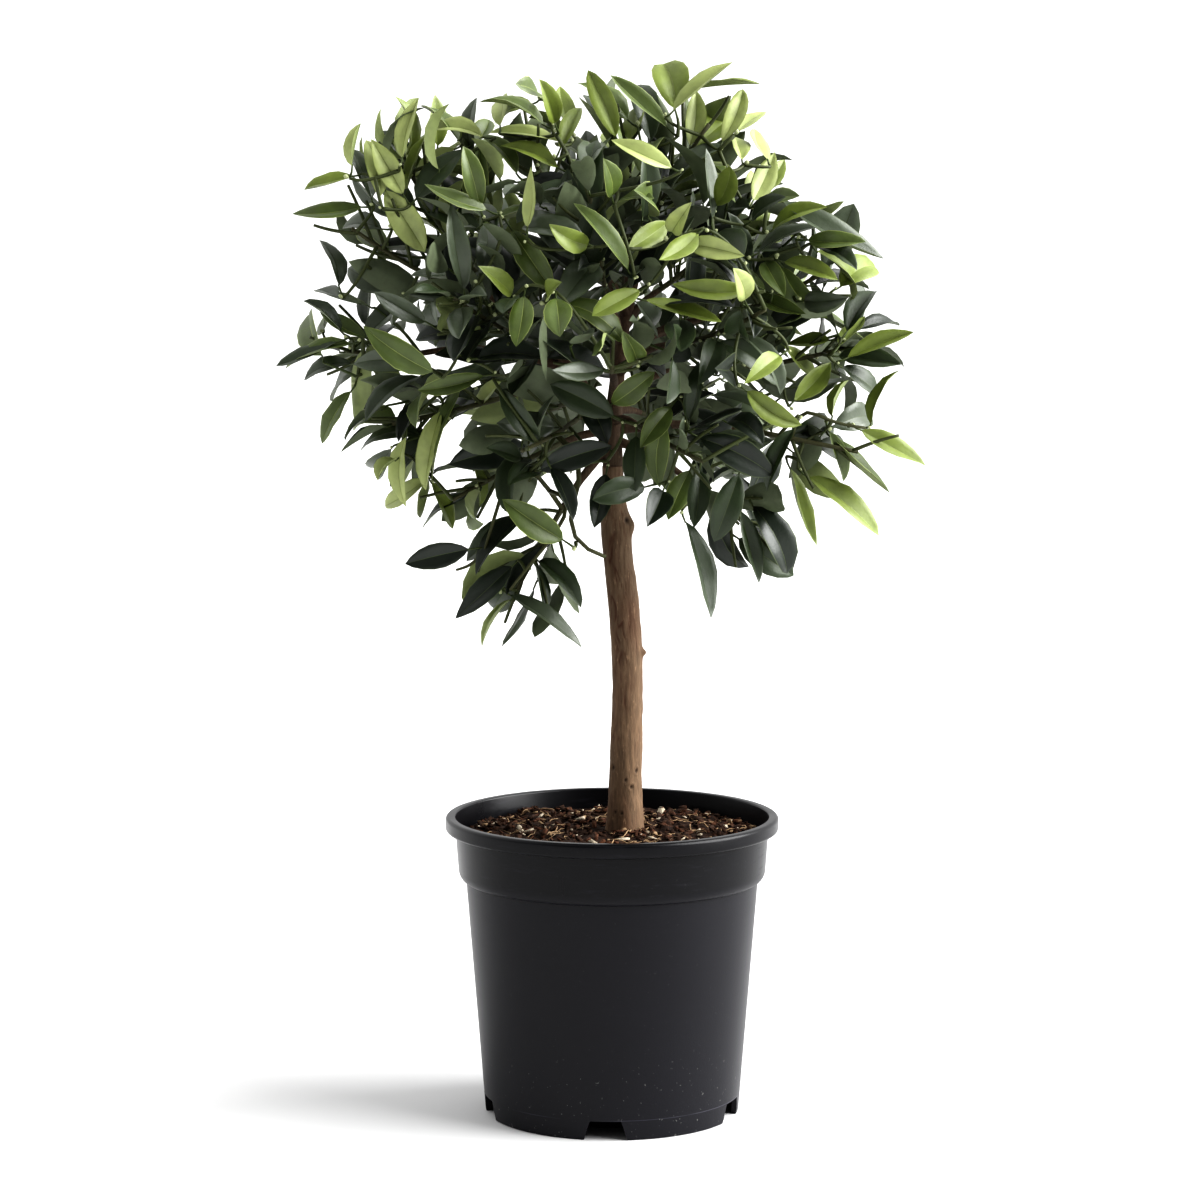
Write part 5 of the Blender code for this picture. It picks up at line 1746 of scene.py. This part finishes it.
class POTTEDTREE_OT_twigs(bpy.types.Operator):
    """Make the stems, twigs, twiglets and petioles that carry the leaves"""

    bl_idname = "potted_tree.twigs"
    bl_label = "Make the twigs"

    def execute(self, context):
        settings = context.scene.potted_tree.leaves
        head = grown_head()
        parts, quads, ends, woods, first = [], [], [], [], 0
        for rings, sides, kind in ((9, 7, "thick"), (3, 4, "petiole")):
            chosen = [row for row in head.paths if (len(row[0]) == 3) == (kind == "petiole")]
            paths = np.array([smoothed(path, rings, 1) if rings > 3 else path
                              for path, _, _ in chosen])
            radii = np.array([np.linspace(*width, rings) for _, width, _ in chosen])
            points = tube_points(paths, radii, sides)
            round_faces, end_faces = tube_faces(len(chosen), rings, sides)
            parts.append(points)
            quads.append(round_faces + first)
            ends.append(end_faces + first)
            first += len(points)
            woods.append(np.repeat([wood for _, _, wood in chosen], rings * sides + 2))
        twigs = make_piece("twigs", np.concatenate(parts), (np.concatenate(quads), np.concatenate(ends)),
                           [twig_material("twig_skin", tuple(settings.twig_green),
                                          tuple(settings.twig_brown))])
        give_attribute(twigs, "wood", np.concatenate(woods))
        placed(twigs, [f"mass_{name}" for name in MASSES])
        return {"FINISHED"}


class POTTEDTREE_OT_buds(bpy.types.Operator):
    """Make the small pale buds that stand at the leaf joints"""

    bl_idname = "potted_tree.buds"
    bl_label = "Make the buds"

    def execute(self, context):
        settings = context.scene.potted_tree.leaves
        head = grown_head()
        draw = np.random.default_rng(5)
        nodes = np.array(head.nodes)
        nodes = nodes[draw.choice(len(nodes), min(settings.buds, len(nodes)), replace=False)]
        heading = unit(unit(nodes - HEAD_HEART) + draw.normal(0.0, 0.5, nodes.shape))
        size = draw.uniform(0.0011, 0.0021, len(nodes))
        place = np.array((0.0, 0.25, 0.7, 1.15, 1.6, 1.8))
        swell = np.array((0.35, 0.42, 0.95, 1.0, 0.6, 0.2))
        start = nodes + heading * 0.0006
        paths = start[:, None] + heading[:, None] * (size[:, None] * place)[..., None]
        points = tube_points(paths, size[:, None] * swell * 0.75, 6)
        buds = make_piece("buds", points, tube_faces(len(nodes), len(place), 6),
                          [bud_material(tuple(settings.bud))])
        placed(buds, [f"mass_{name}" for name in MASSES])
        return {"FINISHED"}


class POTTEDTREE_OT_stage(bpy.types.Operator):
    """Make the floor, the lights and the camera at the picture's angle"""

    bl_idname = "potted_tree.stage"
    bl_label = "Make the stage"

    def execute(self, context):
        settings = context.scene.potted_tree.stage
        scene = context.scene
        corners = np.array(((-9, -9, 0), (9, -9, 0), (9, 9, 0), (-9, 9, 0)), float)
        floor = make_piece("floor", corners, (np.array([(0, 1, 2, 3)]),),
                           [floor_material(tuple(settings.floor))])
        lamp = bpy.data.lights.new("key_light", "SUN")
        lamp.energy = settings.key
        lamp.angle = settings.softness
        key = bpy.data.objects.new("key_light", lamp)
        key.rotation_euler = (math.pi / 2 - settings.key_height, 0.0, math.pi / 2 + settings.key_turn)
        scene.collection.objects.link(key)
        scene.world = self.studio(settings)
        camera = bpy.data.cameras.new("camera")
        camera.lens = LENS
        camera.sensor_width = SENSOR
        camera.clip_end = 60.0
        view = bpy.data.objects.new("camera", camera)
        view.location = EYE
        view.rotation_euler = (math.pi / 2 - PITCH, 0.0, 0.0)
        scene.collection.objects.link(view)
        scene.camera = view
        scene.view_settings.view_transform = "Standard"
        scene.view_settings.look = "High Contrast"
        return {"FINISHED"}

    @staticmethod
    def studio(settings):
        """A bright wall behind, brighter sides and ceiling, and a dim room in front, blended by
        direction. The camera itself sees plain white."""
        world = bpy.data.worlds.new("studio")
        sheet = Sheet(world, "Background")
        spots = sheet.node("ShaderNodeTexCoord", {}, {}, "Generated")
        x, y, z = (sheet.node("ShaderNodeSeparateXYZ", {}, {0: spots}, axis) for axis in range(3))
        walls = sheet.band(y, -0.35, 0.55, settings.front, settings.back)
        walls = walls + sheet.band(x, 0.35, 0.9, 0.0, settings.right)
        walls = walls + sheet.band(x, -0.35, -0.9, 0.0, settings.left)
        walls = walls + sheet.band(z, 0.3, 0.9, 0.0, settings.top)
        camera = sheet.node("ShaderNodeLightPath", {}, {}, "Is Camera Ray")
        sheet.feed(sheet.shader, {"Color": (1.0, 1.0, 1.0, 1.0),
                                  "Strength": walls * (1.0 - camera) + camera})
        return world


class POTTEDTREE_PT_panel(bpy.types.Panel):
    """The sizes and colours, and a button for each piece"""

    bl_label = "Potted tree"
    bl_idname = "POTTEDTREE_PT_panel"
    bl_space_type = "VIEW_3D"
    bl_region_type = "UI"
    bl_category = "Potted tree"

    def draw(self, context):
        settings = context.scene.potted_tree
        for part in ("pot", "mix", "bark", "leaves", "stage"):
            box = self.layout.box()
            box.label(text=part.capitalize())
            group = getattr(settings, part)
            for key in group.__annotations__:
                box.prop(group, key)
        for operator in OPERATORS:
            self.layout.operator(operator.bl_idname)


OPERATORS = (POTTEDTREE_OT_pot, POTTEDTREE_OT_mix, POTTEDTREE_OT_trunk, POTTEDTREE_OT_boughs,
             POTTEDTREE_OT_leaves, POTTEDTREE_OT_twigs, POTTEDTREE_OT_buds, POTTEDTREE_OT_stage)
CLASSES = (PotSettings, MixSettings, BarkSettings, LeafSettings, StageSettings,
           PottedTreeSettings, *OPERATORS, POTTEDTREE_PT_panel)


def register():
    for kind in CLASSES:
        bpy.utils.register_class(kind)
    bpy.types.Scene.potted_tree = bpy.props.PointerProperty(type=PottedTreeSettings)


def unregister():
    del bpy.types.Scene.potted_tree
    for kind in reversed(CLASSES):
        bpy.utils.unregister_class(kind)


def main():
    register()
    bpy.ops.potted_tree.stage()
    bpy.ops.potted_tree.pot()
    bpy.ops.potted_tree.mix()
    bpy.ops.potted_tree.trunk()
    bpy.ops.potted_tree.boughs()
    bpy.ops.potted_tree.leaves()
    bpy.ops.potted_tree.twigs()
    bpy.ops.potted_tree.buds()


if __name__ == "__main__":
    main()
